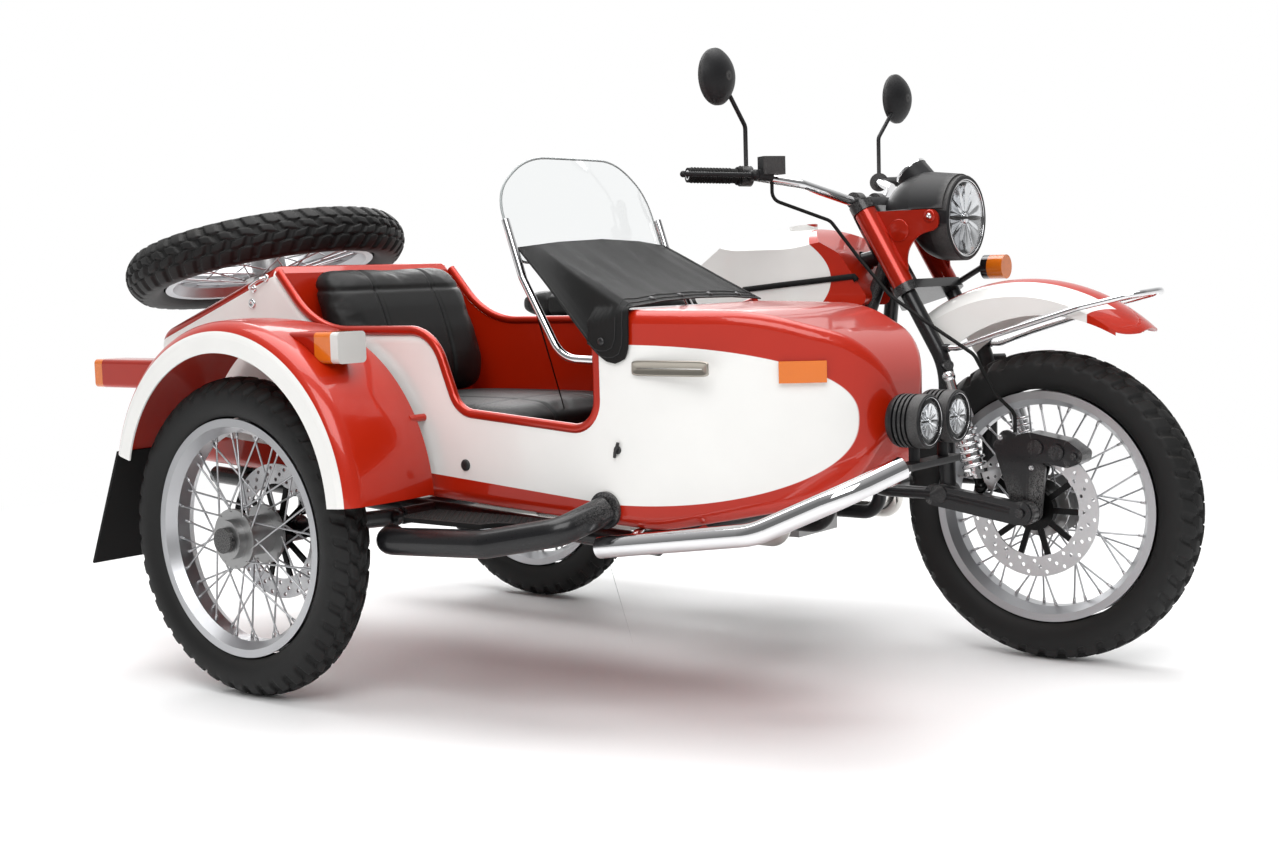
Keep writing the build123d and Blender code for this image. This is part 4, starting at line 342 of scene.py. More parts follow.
MATERIALS = {
    "red": material("red_paint", RED, **{**PAINT, "metal": 0.45, "drift": 0.12}),
    "body": material("body_paint", RED, mask=body_white, other=WHITE, **TWO_TONE),
    "fender": material("sidecar_fender_paint", RED, mask=fender_white, other=WHITE, **TWO_TONE),
    "tank": material("tank_paint", RED, mask=tank_white, other=WHITE, **TWO_TONE),
    "front_fender": material("front_fender_paint", RED, mask=front_fender_white, other=WHITE, **TWO_TONE),
    "rear_fender": material("rear_fender_paint", RED, mask=rear_fender_white, other=WHITE, **TWO_TONE),
    "chrome": material("chrome", CHROME, 0.08, metal=1.0, grain=300.0, drift=0.04),
    "cast": material("cast_alloy", CAST, 0.42, metal=0.9, grain=900.0, relief=0.0003, drift=0.2, dust=0.25, wear=0.5),
    "steel": material("disc_steel", (0.52, 0.52, 0.53), 0.28, metal=1.0, grain=500.0, relief=0.00004, drift=0.1),
    "disc": material("brake_disc", (0.56, 0.56, 0.57), 0.30, metal=0.9, grain=700.0, relief=0.00005, drift=0.12,
                     mask=disc_black, other=SATIN_BLACK),
    "shock": material("shock_metal", CHROME, 0.12, metal=1.0, grain=300.0, drift=0.05,
                      mask=shock_black, other=SATIN_BLACK),
    "gloss": material("black_enamel", GLOSS_BLACK, 0.30, coat=0.2, grain=400.0, relief=0.00002, dust=0.02, wear=0.2,
                      specular=0.3),
    "satin": material("black_plastic", (0.010, 0.010, 0.011), 0.46, grain=1500.0, relief=0.00012, dust=0.02, wear=0.2,
                      specular=0.25),
    "rubber": material("rubber", RUBBER, 0.70, grain=1200.0, relief=0.0002, dust=0.03, drift=0.2, specular=0.15),
    "tyre": material("tyre_rubber", RUBBER, 0.58, grain=900.0, relief=0.00025, dust=0.04, drift=0.2, wear=0.22,
                     specular=0.28),
    "vinyl": material("vinyl", VINYL, 0.42, grain=1400.0, relief=0.0005, drift=0.15, specular=0.22),
    "canvas": material("coated_cloth", (0.010, 0.010, 0.010), 0.54, grain=2200.0, relief=0.0006, drift=0.2,
                       specular=0.16),
    "signal": material("signal_lens", AMBER, 0.16, coat=0.6, grain=200.0, relief=0.0002, drift=0.15,
                       mask=signal_base, other=SATIN_BLACK),
    "marker": material("marker_lens", AMBER, 0.12, coat=0.6, grain=200.0, relief=0.0002, drift=0.12,
                       mask=lens_clear, other=(0.62, 0.62, 0.60)),
    "ruby": material("red_lens", (0.45, 0.006, 0.004), 0.12, coat=0.6, grain=200.0, relief=0.0002, drift=0.15,
                     transmission=0.35),
    "glass": material("clear_glass", (0.94, 0.955, 0.955), 0.02, grain=40.0, drift=0.0, transmission=1.0, ior=1.30),
    "lamp_glass": material("lamp_glass", (0.95, 0.96, 0.96), 0.03, grain=120.0, relief=0.0002, drift=0.0,
                           transmission=1.0, ior=1.25),
    "edge": material("screen_edge", (0.30, 0.32, 0.32), 0.25, grain=300.0, drift=0.05),
    "reflector": material("lamp_reflector", (0.78, 0.79, 0.81), 0.12, metal=1.0, grain=60.0, drift=0.12),
    "mirror": material("mirror_glass", (0.86, 0.87, 0.88), 0.03, metal=1.0, grain=30.0, drift=0.02),
    "pewter": material("pewter_plate", (0.42, 0.39, 0.34), 0.34, metal=1.0, grain=600.0, relief=0.00008, drift=0.15,
                       wear=0.3),
    "dial": material("dial_face", (0.014, 0.014, 0.015), 0.5, grain=900.0, drift=0.05),
    "tick": material("dial_mark", (0.75, 0.74, 0.70), 0.5, grain=900.0, drift=0.05),
    "thread": material("black_thread", (0.020, 0.020, 0.020), 0.7, grain=2500.0, relief=0.0002, drift=0.2),
    "exhaust": material("exhaust_chrome", (0.66, 0.64, 0.61), 0.16, metal=1.0, grain=90.0, drift=0.18),
}
for wheel, hub in (("front", FRONT_HUB), ("rear", REAR_HUB), ("sidecar", SIDECAR_HUB)):
    MATERIALS[wheel + "_wheel"] = wheel_metal(wheel + "_wheel_metal", hub)
MATERIALS["spare_wheel"] = wheel_metal("spare_wheel_metal", SPARE_HUB, SPARE_PITCH)

NODE_FINISH = {
    "red": ("fork_covers", "cockpit_rim", "trunk_lid", "fender_lamps"),
    "body": ("sidecar_body",),
    "fender": ("sidecar_fender",),
    "tank": ("fuel_tank",),
    "front_fender": ("front_fender",),
    "rear_fender": ("rear_fender",),
    "chrome": ("handlebar", "windscreen_stays", "front_bumper", "fender_rail", "sidecar_shock"),
    "shock": ("front_shocks", "rear_shocks"),
    "cast": ("engine_block", "cylinders"),
    "steel": ("spare_carrier",),
    "disc": ("front_disc", "rear_disc", "sidecar_disc"),
    "gloss": ("motorcycle_frame", "front_fork", "leading_link", "swing_arm", "sidecar_frame", "sidecar_swing_arm",
              "step_tube", "brake_caliper"),
    "satin": ("instrument_cowl", "headlamp_shell", "bar_controls", "mirrors", "fog_lamps", "intake_pipes",
              "foot_controls"),
    "rubber": ("hand_grips", "mud_flap", "step_pad", "brake_hose"),
    "tyre": ("front_tyre", "rear_tyre", "sidecar_tyre", "spare_tyre"),
    "vinyl": ("rider_seat", "seat_cushion", "seat_back"),
    "canvas": ("tonneau_cover",),
    "signal": ("turn_signal",),
    "marker": ("amber_lenses",),
    "ruby": ("tail_lamp",),
    "glass": ("windscreen", "headlamp_lens", "fog_lenses"),
    "exhaust": ("exhaust_pipes",),
    "front_wheel": ("front_wheel",),
    "rear_wheel": ("rear_wheel",),
    "sidecar_wheel": ("sidecar_wheel",),
    "spare_wheel": ("spare_wheel",),
}
for finish, names in NODE_FINISH.items():
    for name in names:
        slots = NODES[name].data.materials
        slots.clear()
        slots.append(MATERIALS[finish])


def grid(sheets):
    """Points and quads of some sheets, each (points[rows, columns, 3] in mm, rows close, columns close)."""
    corners = []
    faces = []
    start = 0
    for points, close_rows, close_columns in sheets:
        points = np.asarray(points, dtype=float)
        rows, columns = points.shape[:2]
        index = start + np.arange(rows * columns).reshape(rows, columns)
        down = np.roll(index, -1, axis=0) if close_rows else index[1:]
        here = index if close_rows else index[:-1]
        quads = np.stack([here, np.roll(here, -1, axis=1), np.roll(down, -1, axis=1), down], axis=-1)
        if not close_columns:
            quads = quads[:, :-1]
        corners.append(points.reshape(-1, 3))
        faces.append(quads.reshape(-1, 4))
        start += rows * columns
    return np.concatenate(corners), np.concatenate(faces)


WELD = 1e-6


def quad_mesh(name, points, quads):
    """Smooth mesh of quads from layout points; points that meet at a pole or seam become one."""
    mesh = bpy.data.meshes.new(name)
    mesh.from_pydata(place(points).tolist(), [], quads.tolist())
    work = bmesh.new()
    work.from_mesh(mesh)
    bmesh.ops.remove_doubles(work, verts=work.verts, dist=WELD)
    work.to_mesh(mesh)
    work.free()
    mesh.validate()
    mesh.polygons.foreach_set("use_smooth", np.ones(len(mesh.polygons), dtype=bool))
    return mesh


def dress(mesh, name, finish, body):
    """Object for a finished mesh, with its material, riding on a body."""
    mesh.materials.clear()
    mesh.materials.append(MATERIALS[finish])
    piece = bpy.data.objects.new(name, mesh)
    bpy.context.scene.collection.objects.link(piece)
    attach(piece, body)
    return piece


def surface(name, sheets, finish, body):
    """Piece made of grids of points."""
    return dress(quad_mesh(name, *grid(sheets)), name, finish, body)


def axes_for(direction):
    """Two unit vectors square to a direction, and the direction itself made unit."""
    along = np.asarray(direction, dtype=float)
    along = along / np.linalg.norm(along)
    guess = np.array([0.0, 0.0, 1.0]) if abs(along[2]) < 0.9 else np.array([1.0, 0.0, 0.0])
    first = np.cross(guess, along)
    first /= np.linalg.norm(first)
    return first, np.cross(along, first), along


def lathe(profile, centre, axis, sides=32):
    """Profile rows of (radius, distance along the axis) turned about an axis through a point."""
    first, second, along = axes_for(axis)
    angle = np.linspace(0.0, 2.0 * pi, sides, endpoint=False)[None, :, None]
    radius = np.array([row[0] for row in profile])[:, None, None]
    height = np.array([row[1] for row in profile])[:, None, None]
    ring = np.cos(angle) * first + np.sin(angle) * second
    return np.asarray(centre) + radius * ring + height * along, False, True


def tube(path, radius, sides=10, closed=False):
    """Round section carried along a path of points; an open tube is drawn in to a point at both ends."""
    path = np.asarray(path, dtype=float)
    if closed:
        run = np.roll(path, -1, axis=0) - np.roll(path, 1, axis=0)
    else:
        run = np.gradient(path, axis=0)
    run /= np.linalg.norm(run, axis=1, keepdims=True)
    side = np.zeros_like(path)
    side[0] = axes_for(run[0])[0]
    for index in range(1, len(path)):
        turned = side[index - 1] - run[index] * np.dot(run[index], side[index - 1])
        side[index] = turned / np.linalg.norm(turned)
    lift = np.cross(run, side)
    angle = np.linspace(0.0, 2.0 * pi, sides, endpoint=False)[None, :, None]
    rings = path[:, None] + (np.cos(angle) * side[:, None] + np.sin(angle) * lift[:, None]) * float(radius)
    if not closed:
        start, end = (np.repeat(path[pick, None], sides, axis=1) for pick in (slice(0, 1), slice(-1, None)))
        rings = np.concatenate([start, rings, end])
    return rings, closed, True


def spline(points, count):
    """Smooth run through a few points: a cubic through each four neighbours."""
    points = np.asarray(points, dtype=float)
    padded = np.concatenate([2 * points[:1] - points[1:2], points, 2 * points[-1:] - points[-2:-1]])
    spot = np.linspace(0.0, len(points) - 1.000001, count)
    cell = spot.astype(int)
    t = (spot - cell)[:, None]
    a, b, c, d = (padded[cell + shift] for shift in range(4))
    return 0.5 * (2 * b + (c - a) * t + (2 * a - 5 * b + 4 * c - d) * t ** 2 + (3 * b - a - 3 * c + d) * t ** 3)


def smooth_step(value, low, high):
    """0 below low, 1 above high, an S curve between."""
    t = np.clip((value - low) / (high - low), 0.0, 1.0)
    return t * t * (3.0 - 2.0 * t)


TREAD_PITCHES = 44
TREAD_STEPS = 15
TREAD_DEPTH = 7.5
TREAD_ROW_EDGE = 0.44
CROWN_COLUMNS = 47
CROWN_HALF_WIDTH = 49.5
CROWN_DROP = 25.0
WALL_RIDGE_RADIUS = 287.0
TYRE_WALL = ((258.5, 34.0), (262.0, 38.5), (272.0, 46.0), (285.0, 50.5), (298.0, 52.0), (309.0, 50.8))


def tyre_sheet(hub, axis, spin):
    """Tyre as radius and half width over (turn, across): bulging walls, three staggered rows of tread blocks.

    Across runs from bead to bead. On the crown, blocks stand TREAD_DEPTH above the grooves: the row grooves
    wander with the turn and the cross grooves slant with the distance from the middle.
    """
    turn = np.linspace(0.0, 2.0 * pi, TREAD_PITCHES * TREAD_STEPS, endpoint=False)[:, None]
    wall = np.array(TYRE_WALL)
    crown_across = np.linspace(-1.0, 1.0, CROWN_COLUMNS)
    crown_radius = WHEEL_RADIUS - CROWN_DROP * np.abs(crown_across) ** 2.2
    crown_width = CROWN_HALF_WIDTH * crown_across
    radius = np.concatenate([wall[:, 0], crown_radius, wall[::-1, 0]])[None, :]
    across = np.concatenate([-wall[:, 1], crown_width, wall[::-1, 1]])[None, :]
    on_crown = np.concatenate([np.zeros(len(wall)), np.ones(CROWN_COLUMNS), np.zeros(len(wall))])[None, :]
    share = across / CROWN_HALF_WIDTH
    phase = turn / (2.0 * pi) * TREAD_PITCHES
    wander = 0.035 * np.sin(2.0 * pi * phase)
    rows = np.abs(share) + wander * np.sign(share)
    middle_gap = 1.0 - smooth_step(np.abs(share + wander * 1.5), 0.02, 0.055)
    row_gap = np.maximum(middle_gap, 1.0 - smooth_step(np.abs(rows - TREAD_ROW_EDGE), 0.03, 0.065))
    shift = np.where(rows < TREAD_ROW_EDGE, 0.0, 0.5) + np.where(share > 0, 0.5, 0.0)
    cross = np.mod(phase + shift + 0.55 * np.abs(share), 1.0)
    cross_gap = 1.0 - smooth_step(0.5 - np.abs(cross - 0.5), 0.14, 0.22)
    gap = np.maximum(row_gap, cross_gap) * on_crown
    edge_fade = 1.0 - 0.45 * smooth_step(np.abs(share), 0.9, 1.0)
    ridge = 0.8 * np.exp(-((radius - WALL_RIDGE_RADIUS) / 2.2) ** 2) * (1.0 - on_crown)
    depth = TREAD_DEPTH * gap * edge_fade
    reach = radius - depth
    out = across + np.sign(across) * (ridge - 0.35 * depth * smooth_step(np.abs(share), 0.8, 1.0))
    first, second, along = axes_for(axis)
    spoke = np.cos(turn + spin)[..., None] * first + np.sin(turn + spin)[..., None] * second
    points = np.asarray(hub) + reach[..., None] * spoke + out[..., None] * along
    return points, True, False


SPARE_AXIS = (-sin(radians(SPARE_PITCH)), 0.0, cos(radians(SPARE_PITCH)))
WHEELS = (
    ("front", FRONT_HUB, (0.0, 1.0, 0.0), "front_wheel_set"),
    ("rear", REAR_HUB, (0.0, 1.0, 0.0), "rear_wheel_set"),
    ("sidecar", SIDECAR_HUB, (0.0, 1.0, 0.0), "sidecar_wheel_set"),
    ("spare", SPARE_HUB, SPARE_AXIS, "trunk"),
)
for index, (wheel, hub, axis, body) in enumerate(WHEELS):
    tyre = surface(wheel + "_tread_tyre", [tyre_sheet(hub, axis, 0.4 * index)], "tyre", body)
    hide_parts(wheel + "_tyre")


def layout_box(node):
    """Lowest and highest corner of a CAD node, in layout millimetres."""
    return (np.array([list(corner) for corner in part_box(node)]) - ORIGIN) * 1000.0


def squared_ring(turn, boxy):
    """Cosine and sine of a turn, each raised to 2 / boxy with its sign kept: a ring drawn out toward a square."""
    return [np.sign(wave) * np.abs(wave) ** (2.0 / boxy) for wave in (np.cos(turn), np.sin(turn))]


def pillow(centre, half, boxy=4.0, ends=7.0):
    """Rounded block: |x|^boxy + |z|^boxy = 1 in side view, drawn in to a point at both ends across."""
    turn = np.linspace(0.0, 2.0 * pi, 72, endpoint=False)[None, :]
    across = np.sin(np.linspace(-pi / 2, pi / 2, 46))[:, None]
    scale = np.clip(1.0 - np.abs(across) ** ends, 0.0, 1.0) ** (1.0 / ends)
    along, up = (wave * scale for wave in squared_ring(turn, boxy))
    side = across + 0.0 * turn
    return np.stack([centre[0] + half[0] * along, centre[1] + half[1] * side, centre[2] + half[2] * up], axis=-1)


def mesh_points(mesh):
    """Layout points of a mesh."""
    flat = np.empty(len(mesh.vertices) * 3)
    mesh.vertices.foreach_get("co", flat)
    return (flat.reshape(-1, 3) - ORIGIN) * 1000.0


def baked(holder):
    """Mesh of an object with its modifiers applied."""
    graph = bpy.context.evaluated_depsgraph_get()
    graph.update()
    return bpy.data.meshes.new_from_object(holder.evaluated_get(graph))


VOXEL = 0.009
SWELL_FRAMES = 14


def stuffed(name, points, node, body, cap, channels, limit):
    """Cushion: a form swollen from within by cloth under pressure, then drawn in along its sewn channels.

    A point moves by at most cap. Each channel is (axis, place, depth, width): a Gaussian groove about one plane.
    limit(points) keeps the pad off what it rests on.
    """
    scene = bpy.context.scene
    form = bpy.data.objects.new(name + "_form", quad_mesh(name + "_form", *grid([(points, False, True)])))
    scene.collection.objects.link(form)
    remesh = form.modifiers.new("remesh", "REMESH")
    remesh.mode = "VOXEL"
    remesh.voxel_size = VOXEL
    pad = bpy.data.objects.new(name + "_pad", baked(form))
    scene.collection.objects.link(pad)
    start = mesh_points(pad.data)
    cloth = pad.modifiers.new("cloth", "CLOTH")
    cloth.settings.quality = 4
    cloth.settings.use_pressure = True
    cloth.settings.uniform_pressure_force = 4.0
    cloth.settings.effector_weights.gravity = 0.0
    for step in range(1, SWELL_FRAMES + 1):
        scene.frame_set(step)
    swollen = mesh_points(baked(pad))
    scene.frame_set(1)
    pad.modifiers.clear()
    move = swollen - start
    length = np.linalg.norm(move, axis=1, keepdims=True)
    start = start + move * np.minimum(1.0, cap / np.maximum(length, 1e-6))
    pad.data.vertices.foreach_set("co", place(start).ravel())
    smooth = pad.modifiers.new("smooth", "SUBSURF")
    smooth.levels = 1
    mesh = baked(pad)
    normals = np.empty(len(mesh.vertices) * 3)
    mesh.vertex_normals.foreach_get("vector", normals)
    final = mesh_points(mesh)
    for axis, spot, depth, width in channels:
        groove = depth * np.exp(-((final[:, axis] - spot) / width) ** 2)
        final = final - normals.reshape(-1, 3) * groove[:, None]
    mesh.vertices.foreach_set("co", place(limit(final)).ravel())
    mesh.polygons.foreach_set("use_smooth", np.ones(len(mesh.polygons), dtype=bool))
    mesh.update()
    for spare in (form, pad):
        bpy.data.objects.remove(spare)
    piece = dress(mesh, name, "vinyl", body)
    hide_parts(node)
    return piece


def keep_inside(node, spare=6.0):
    """Limit for a pad: inside its solid's box, with a little spare everywhere but below."""
    low, high = layout_box(node)
    return lambda points: np.clip(points, low, high + np.array([spare, 0.0, spare]))


def seat_cushion_pad():
    """Passenger's cushion, crowned, with two seams fore and aft."""
    low, high = layout_box("seat_cushion")
    centre, half = (low + high) / 2, (high - low) / 2 - 9.0
    points = pillow(centre, half)
    top = np.clip((points[..., 2] - centre[2]) / half[2], 0.0, 1.0)
    bow = 1.0 - ((points[..., 1] - centre[1]) / half[1]) ** 2
    points[..., 2] += 7.0 * top * bow - 5.0 * top
    channels = tuple((1, BODY_Y + y, 5.0, 4.0) for y in (-86.0, 86.0)) + ((0, 640.0, 3.0, 5.0),)
    stuffed("seat_cushion_pad", points, "seat_cushion", "chassis", 11.0, channels, keep_inside("seat_cushion"))


def seat_back_pad():
    """Passenger's back rest leaning on the bulkhead: thick foot, thin top roll, two upright seams."""
    low, high = layout_box("seat_back")
    points = pillow(((low + high) / 2), (high - low) / 2 - 9.0, 5.0)
    rise = (points[..., 2] - low[2]) / (high[2] - low[2])
    back = 186.0 - 76.0 * rise + 6.0
    front = np.interp(rise, [0.0, 0.1, 0.3, 0.6, 0.85, 1.0], [296.0, 300.0, 296.0, 268.0, 226.0, 196.0]) - 8.0
    share = (points[..., 0] - low[0]) / (high[0] - low[0])
    points[..., 0] = back + (front - back) * share
    channels = tuple((1, BODY_Y + y, 7.0, 4.0) for y in (-92.0, 92.0)) + ((2, low[2] + 262.0, 4.0, 5.0),)

    def limit(spots):
        wall = 112.0 + 103.0 * (916.0 - spots[:, 2]) / 486.0 + 1.0
        held = np.clip(spots, low, high + np.array([8.0, 0.0, 6.0]))
        held[:, 0] = np.maximum(held[:, 0], wall)
        return held

    stuffed("seat_back_pad", points, "seat_back", "chassis", 12.0, channels, limit)


def rider_seat_pad():
    """Rider's bench: wide middle, narrow nose, raised tail and three cross seams."""
    low, high = layout_box("rider_seat")
    centre, half = (low + high) / 2, (high - low) / 2 - 8.0
    points = pillow(centre, half, 5.0, 9.0)
    reach = points[..., 0]
    wide = np.interp(reach, [30.0, 180.0, 330.0, 480.0, 605.0], [118.0, 129.0, 133.0, 114.0, 92.0]) - 8.0
    points[..., 1] *= wide / half[1]
    top = np.clip((points[..., 2] - centre[2]) / half[2], 0.0, 1.0)
    points[..., 2] += top * np.interp(reach, [30.0, 120.0, 260.0, 420.0, 605.0], [2.0, 0.0, -6.0, -10.0, -18.0])
    channels = tuple((0, x, 5.0, 4.0) for x in (150.0, 270.0, 390.0))
    stuffed("rider_seat_pad", points, "rider_seat", "chassis", 8.0, channels, keep_inside("rider_seat", 3.0))


seat_cushion_pad()
seat_back_pad()
rider_seat_pad()


STUD = ((7.5, 0.2), (7.3, 1.6), (5.4, 3.0), (2.6, 3.6), (0.0, 3.8))
COVER_WALL = 2.4
DECK_Z = 812.0
FLANK_Y = -988.0
SCREEN_FOOT = ((-951.0, 792.0, 936.0), (-840.0, 806.0, 946.0), (-705.0, 812.0, 951.0), (-570.0, 806.0, 946.0),
               (-459.0, 792.0, 936.0))
HEM = ((0.0, (1028.0, FLANK_Y, 727.0)), (0.035, (1050.0, FLANK_Y, 713.0)), (0.055, (1072.0, FLANK_Y, 709.0)),
       (0.075, (1095.0, FLANK_Y, 719.0)), (0.09, (1103.0, FLANK_Y, 740.0)), (0.13, (1105.0, FLANK_Y, 806.0)),
       (0.16, (1104.0, -972.0, 816.5)), (0.35, (1086.0, -850.0, 824.0)), (0.58, (1062.0, -705.0, 826.5)),
       (0.80, (1048.0, -560.0, 824.0)), (1.0, (1040.0, -440.0, 816.5)))


def tonneau_points(rows, columns):
    """Cover stretched in straight lines from the screen's foot to its hem, bent over the deck's right edge.

    Folds are ridges that run down the lines of pull: a sum of three waves across, strongest at half length.
    """
    u = np.linspace(0.0, 1.0, columns)
    v = np.linspace(0.0, 1.0, rows)[:, None]
    foot = np.array(SCREEN_FOOT)
    head_y = -951.0 + 492.0 * np.clip((u - 0.02) / 0.98, 0.0, 1.0)
    head_x = np.interp(head_y, foot[:, 0], foot[:, 1]) + 8.0
    head = np.stack([head_x, head_y, np.interp(head_y, foot[:, 0], foot[:, 2])], axis=-1)
    knots = np.array([knot for knot, _ in HEM])
    spots = np.array([spot for _, spot in HEM])
    hem = np.stack([np.interp(u, knots, spots[:, axis]) for axis in range(3)], axis=-1)
    points = head * (1.0 - v[..., None]) + hem * v[..., None]
    waves = np.sin(34.0 * u + 2.2 * v) + 0.8 * np.sin(57.0 * u - 3.0 * v + 1.0)
    waves = waves + 0.6 * np.sin(21.0 * u + 5.0 * v)
    pull = np.sin(pi * v) ** 0.8 * (0.35 + 0.65 * np.exp(-((u - 0.2) / 0.22) ** 2))
    points[..., 2] += 1.9 * waves * pull - 7.0 * np.sin(pi * v) * np.sin(pi * u)
    return points


def on_body(points, gap):
    """Points pushed out of the sidecar's deck and right flank, whichever is nearer."""
    out = points.copy()
    over = points[..., 0] > 1004.0
    below = DECK_Z + gap - points[..., 2]
    inside = points[..., 1] - (FLANK_Y + 3.0 - gap)
    hit = over & (below > 0.0) & (inside > 0.0)
    lift = hit & (below <= inside)
    slide = hit & (below > inside)
    out[..., 2] = np.where(lift, DECK_Z + gap, out[..., 2])
    out[..., 1] = np.where(slide, FLANK_Y + 3.0 - gap, out[..., 1])
    return out


def tonneau():
    """Cover with two faces COVER_WALL apart, joined round its edge, with sewn hems and snaps."""
    upper = on_body(tonneau_points(90, 150), 4.2)
    across = np.gradient(upper, axis=1)
    along = np.gradient(upper, axis=0)
    face = np.cross(along, across)
    face /= np.linalg.norm(face, axis=-1, keepdims=True)
    face *= np.where(face[..., 2:3] < -0.2, -1.0, 1.0)
    lower = upper - COVER_WALL * face
    rim = np.stack([np.concatenate([sheet[0, :-1], sheet[:-1, -1], sheet[-1, :0:-1], sheet[:0:-1, 0]])
                    for sheet in (upper, lower)])
    sheets = [(upper, False, False), (lower[:, ::-1], False, False), (rim, False, True)]
    piece = surface("tonneau_cloth", sheets, "canvas", "chassis")
    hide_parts("tonneau_cover")
    inset = [upper[-1 - row, 1:-1] + 0.6 * face[-1 - row, 1:-1] for row in (4, 9)]
    edge = [upper[1:-1, column] + 0.6 * face[1:-1, column] for column in (4, 145)]
    seams = surface("tonneau_seams", [tube(line[::2], 0.8, 6) for line in inset + edge], "thread", "chassis")
    studs = []
    for column in (10, 46, 74, 102, 130):
        row = 84 if column > 12 else 74
        studs.append(lathe(STUD, upper[row, column], face[row, column], 20))
    snaps = surface("tonneau_snaps", studs, "gloss", "chassis")


tonneau()


def ring_path(centre, axis, radius, count=28):
    """Points of a circle about an axis."""
    first, second, along = axes_for(axis)
    angle = np.linspace(0.0, 2.0 * pi, count, endpoint=False)[:, None]
    return np.asarray(centre) + radius * (np.cos(angle) * first + np.sin(angle) * second)


LAMP_FACETS = 12


def lamp(prefix, face, glass_radius, bowl, depth, dome, body):
    """Faceted reflector with a bar across it, dark bezel, two bright rings and glass of a lamp that looks ahead.

    The reflector is a paraboloid whose depth swings LAMP_FACETS times round, most at half radius. The glass is
    returned as a sheet, so that both fog lamps share one piece.
    """
    ahead = (1.0, 0.0, 0.0)
    share = np.linspace(1.0, 0.0, 14)
    dish = [(bowl * part, -3.0 - (depth - 3.0) * (1.0 - part ** 2)) for part in share]
    points, close_rows, close_columns = lathe(dish, face, ahead, 96)
    turn = np.linspace(0.0, 2.0 * pi, 96, endpoint=False)[None, :]
    swing = np.abs(np.sin(0.5 * LAMP_FACETS * turn)) * (4.0 * share * (1.0 - share))[:, None]
    points[..., 0] += 0.16 * depth * swing
    thick = 0.05 * bowl
    cap = [(0.17 * bowl, 1.0 - depth), (0.17 * bowl, 6.0 - depth), (0.1 * bowl, 8.5 - depth), (0.0, 9.0 - depth)]
    sheets = [(points, close_rows, close_columns), lathe(cap, face, ahead, 24)]
    surface(prefix + "_reflector", sheets, "reflector", body)
    middle = np.asarray(face) + np.array([-3.5 - thick, 0.0, 0.0])
    bar = [middle + np.array([0.0, part * bowl, 0.0]) for part in np.linspace(-0.97, 0.97, 9)]
    rim = glass_radius + 9.0 * glass_radius / 86.0
    bezel = [(bowl - 0.6, -3.4), (bowl + 1.2, -1.6), (glass_radius, -2.4), (glass_radius, 1.6),
             ((glass_radius + rim) / 2, 4.4), (rim - 0.6, 2.4), (rim + 0.6, -3.0), (rim + 0.6, -9.0)]
    surface(prefix + "_bezel", [lathe(bezel, face, ahead, 64), tube(bar, thick, 10)], "satin", body)
    rings = []
    for out, reach, wire in ((-1.4, bowl, 0.022 * bowl), (1.8, glass_radius + 0.4, 0.016 * glass_radius)):
        centre = np.asarray(face) + np.array([out, 0.0, 0.0])
        rings.append(tube(ring_path(centre, ahead, reach, 64), wire, 8, closed=True))
    surface(prefix + "_rings", rings, "chrome", body)
    crown = [(glass_radius * part, -1.4 + dome * (1.0 - part ** 2)) for part in share]
    return lathe(crown, face, ahead, 72)


head_glass = surface("headlamp_glass", [lamp("headlamp", LAMP, 85.0, 82.0, 13.4, 15.0, "fork")],
                     "lamp_glass", "fork")
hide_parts("headlamp_lens")
FOGS = ((1624.0, BODY_Y - 80.0, 600.0), (1624.0, BODY_Y + 30.0, 600.0))
fog_glass = surface("fog_glass", [lamp(f"fog_{index}", spot, 42.5, 32.0, 7.6, 6.0, "chassis")
                                  for index, spot in enumerate(FOGS)], "lamp_glass", "chassis")
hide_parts("fog_lenses")


def speedometer():
    """Round dial on the cowl's pod: dark face, bright ring, marks and a needle."""
    tilt = radians(42.0)
    up = np.array([-sin(tilt), 0.0, cos(tilt)])
    ahead = np.array([cos(tilt), 0.0, sin(tilt)])
    left = np.array([0.0, 1.0, 0.0])
    spot = np.array([1166.0, 0.0, 1092.0])
    surface("dial_face", [lathe(((35.0, 0.3), (35.0, 0.8), (20.0, 0.9), (0.0, 0.9)), spot, up, 48)], "dial", "fork")
    ring = ((34.0, 0.5), (34.6, 3.0), (36.8, 4.2), (38.8, 2.6), (38.8, -4.0))
    surface("dial_ring", [lathe(ring, spot, up, 48)], "chrome", "fork")
    marks = []
    for index in range(15):
        angle = radians(-130.0 + 260.0 * index / 14.0)
        ray = ahead * cos(angle) + left * -sin(angle)
        inner = 26.0 if index % 2 == 0 else 29.0
        marks.append(tube([spot + up * 1.0 + ray * reach for reach in (inner, 0.5 * (inner + 32.5), 32.5)], 0.7, 6))
    ray = ahead * cos(radians(-130.0)) + left * -sin(radians(-130.0))
    marks.append(tube([spot + up * 1.8 + ray * reach for reach in (-5.0, 10.0, 24.0)], 0.9, 6))
    marks.append(lathe(((4.0, 1.0), (4.0, 2.4), (2.0, 3.0), (0.0, 3.0)), spot, up, 16))
    surface("dial_marks", marks, "tick", "fork")


speedometer()


def mirror_glasses():
    """Convex glass in each mirror's rim, facing back."""
    rows = [(57.5 * part, 0.5 + 2.2 * (1.0 - part ** 2)) for part in np.linspace(1.0, 0.0, 10)]
    sheets = [lathe(rows, (905.0, side * 400.0, 1300.0), (-1, 0, 0), 48) for side in (-1, 1)]
    surface("mirror_glasses", sheets, "mirror", "fork")
    bead = [(57.0, 0.2), (58.4, 2.2), (60.8, 2.6), (62.0, 0.4)]
    beads = [lathe(bead, (905.0, side * 400.0, 1300.0), (-1, 0, 0), 48) for side in (-1, 1)]
    surface("mirror_beads", beads, "satin", "fork")


mirror_glasses()


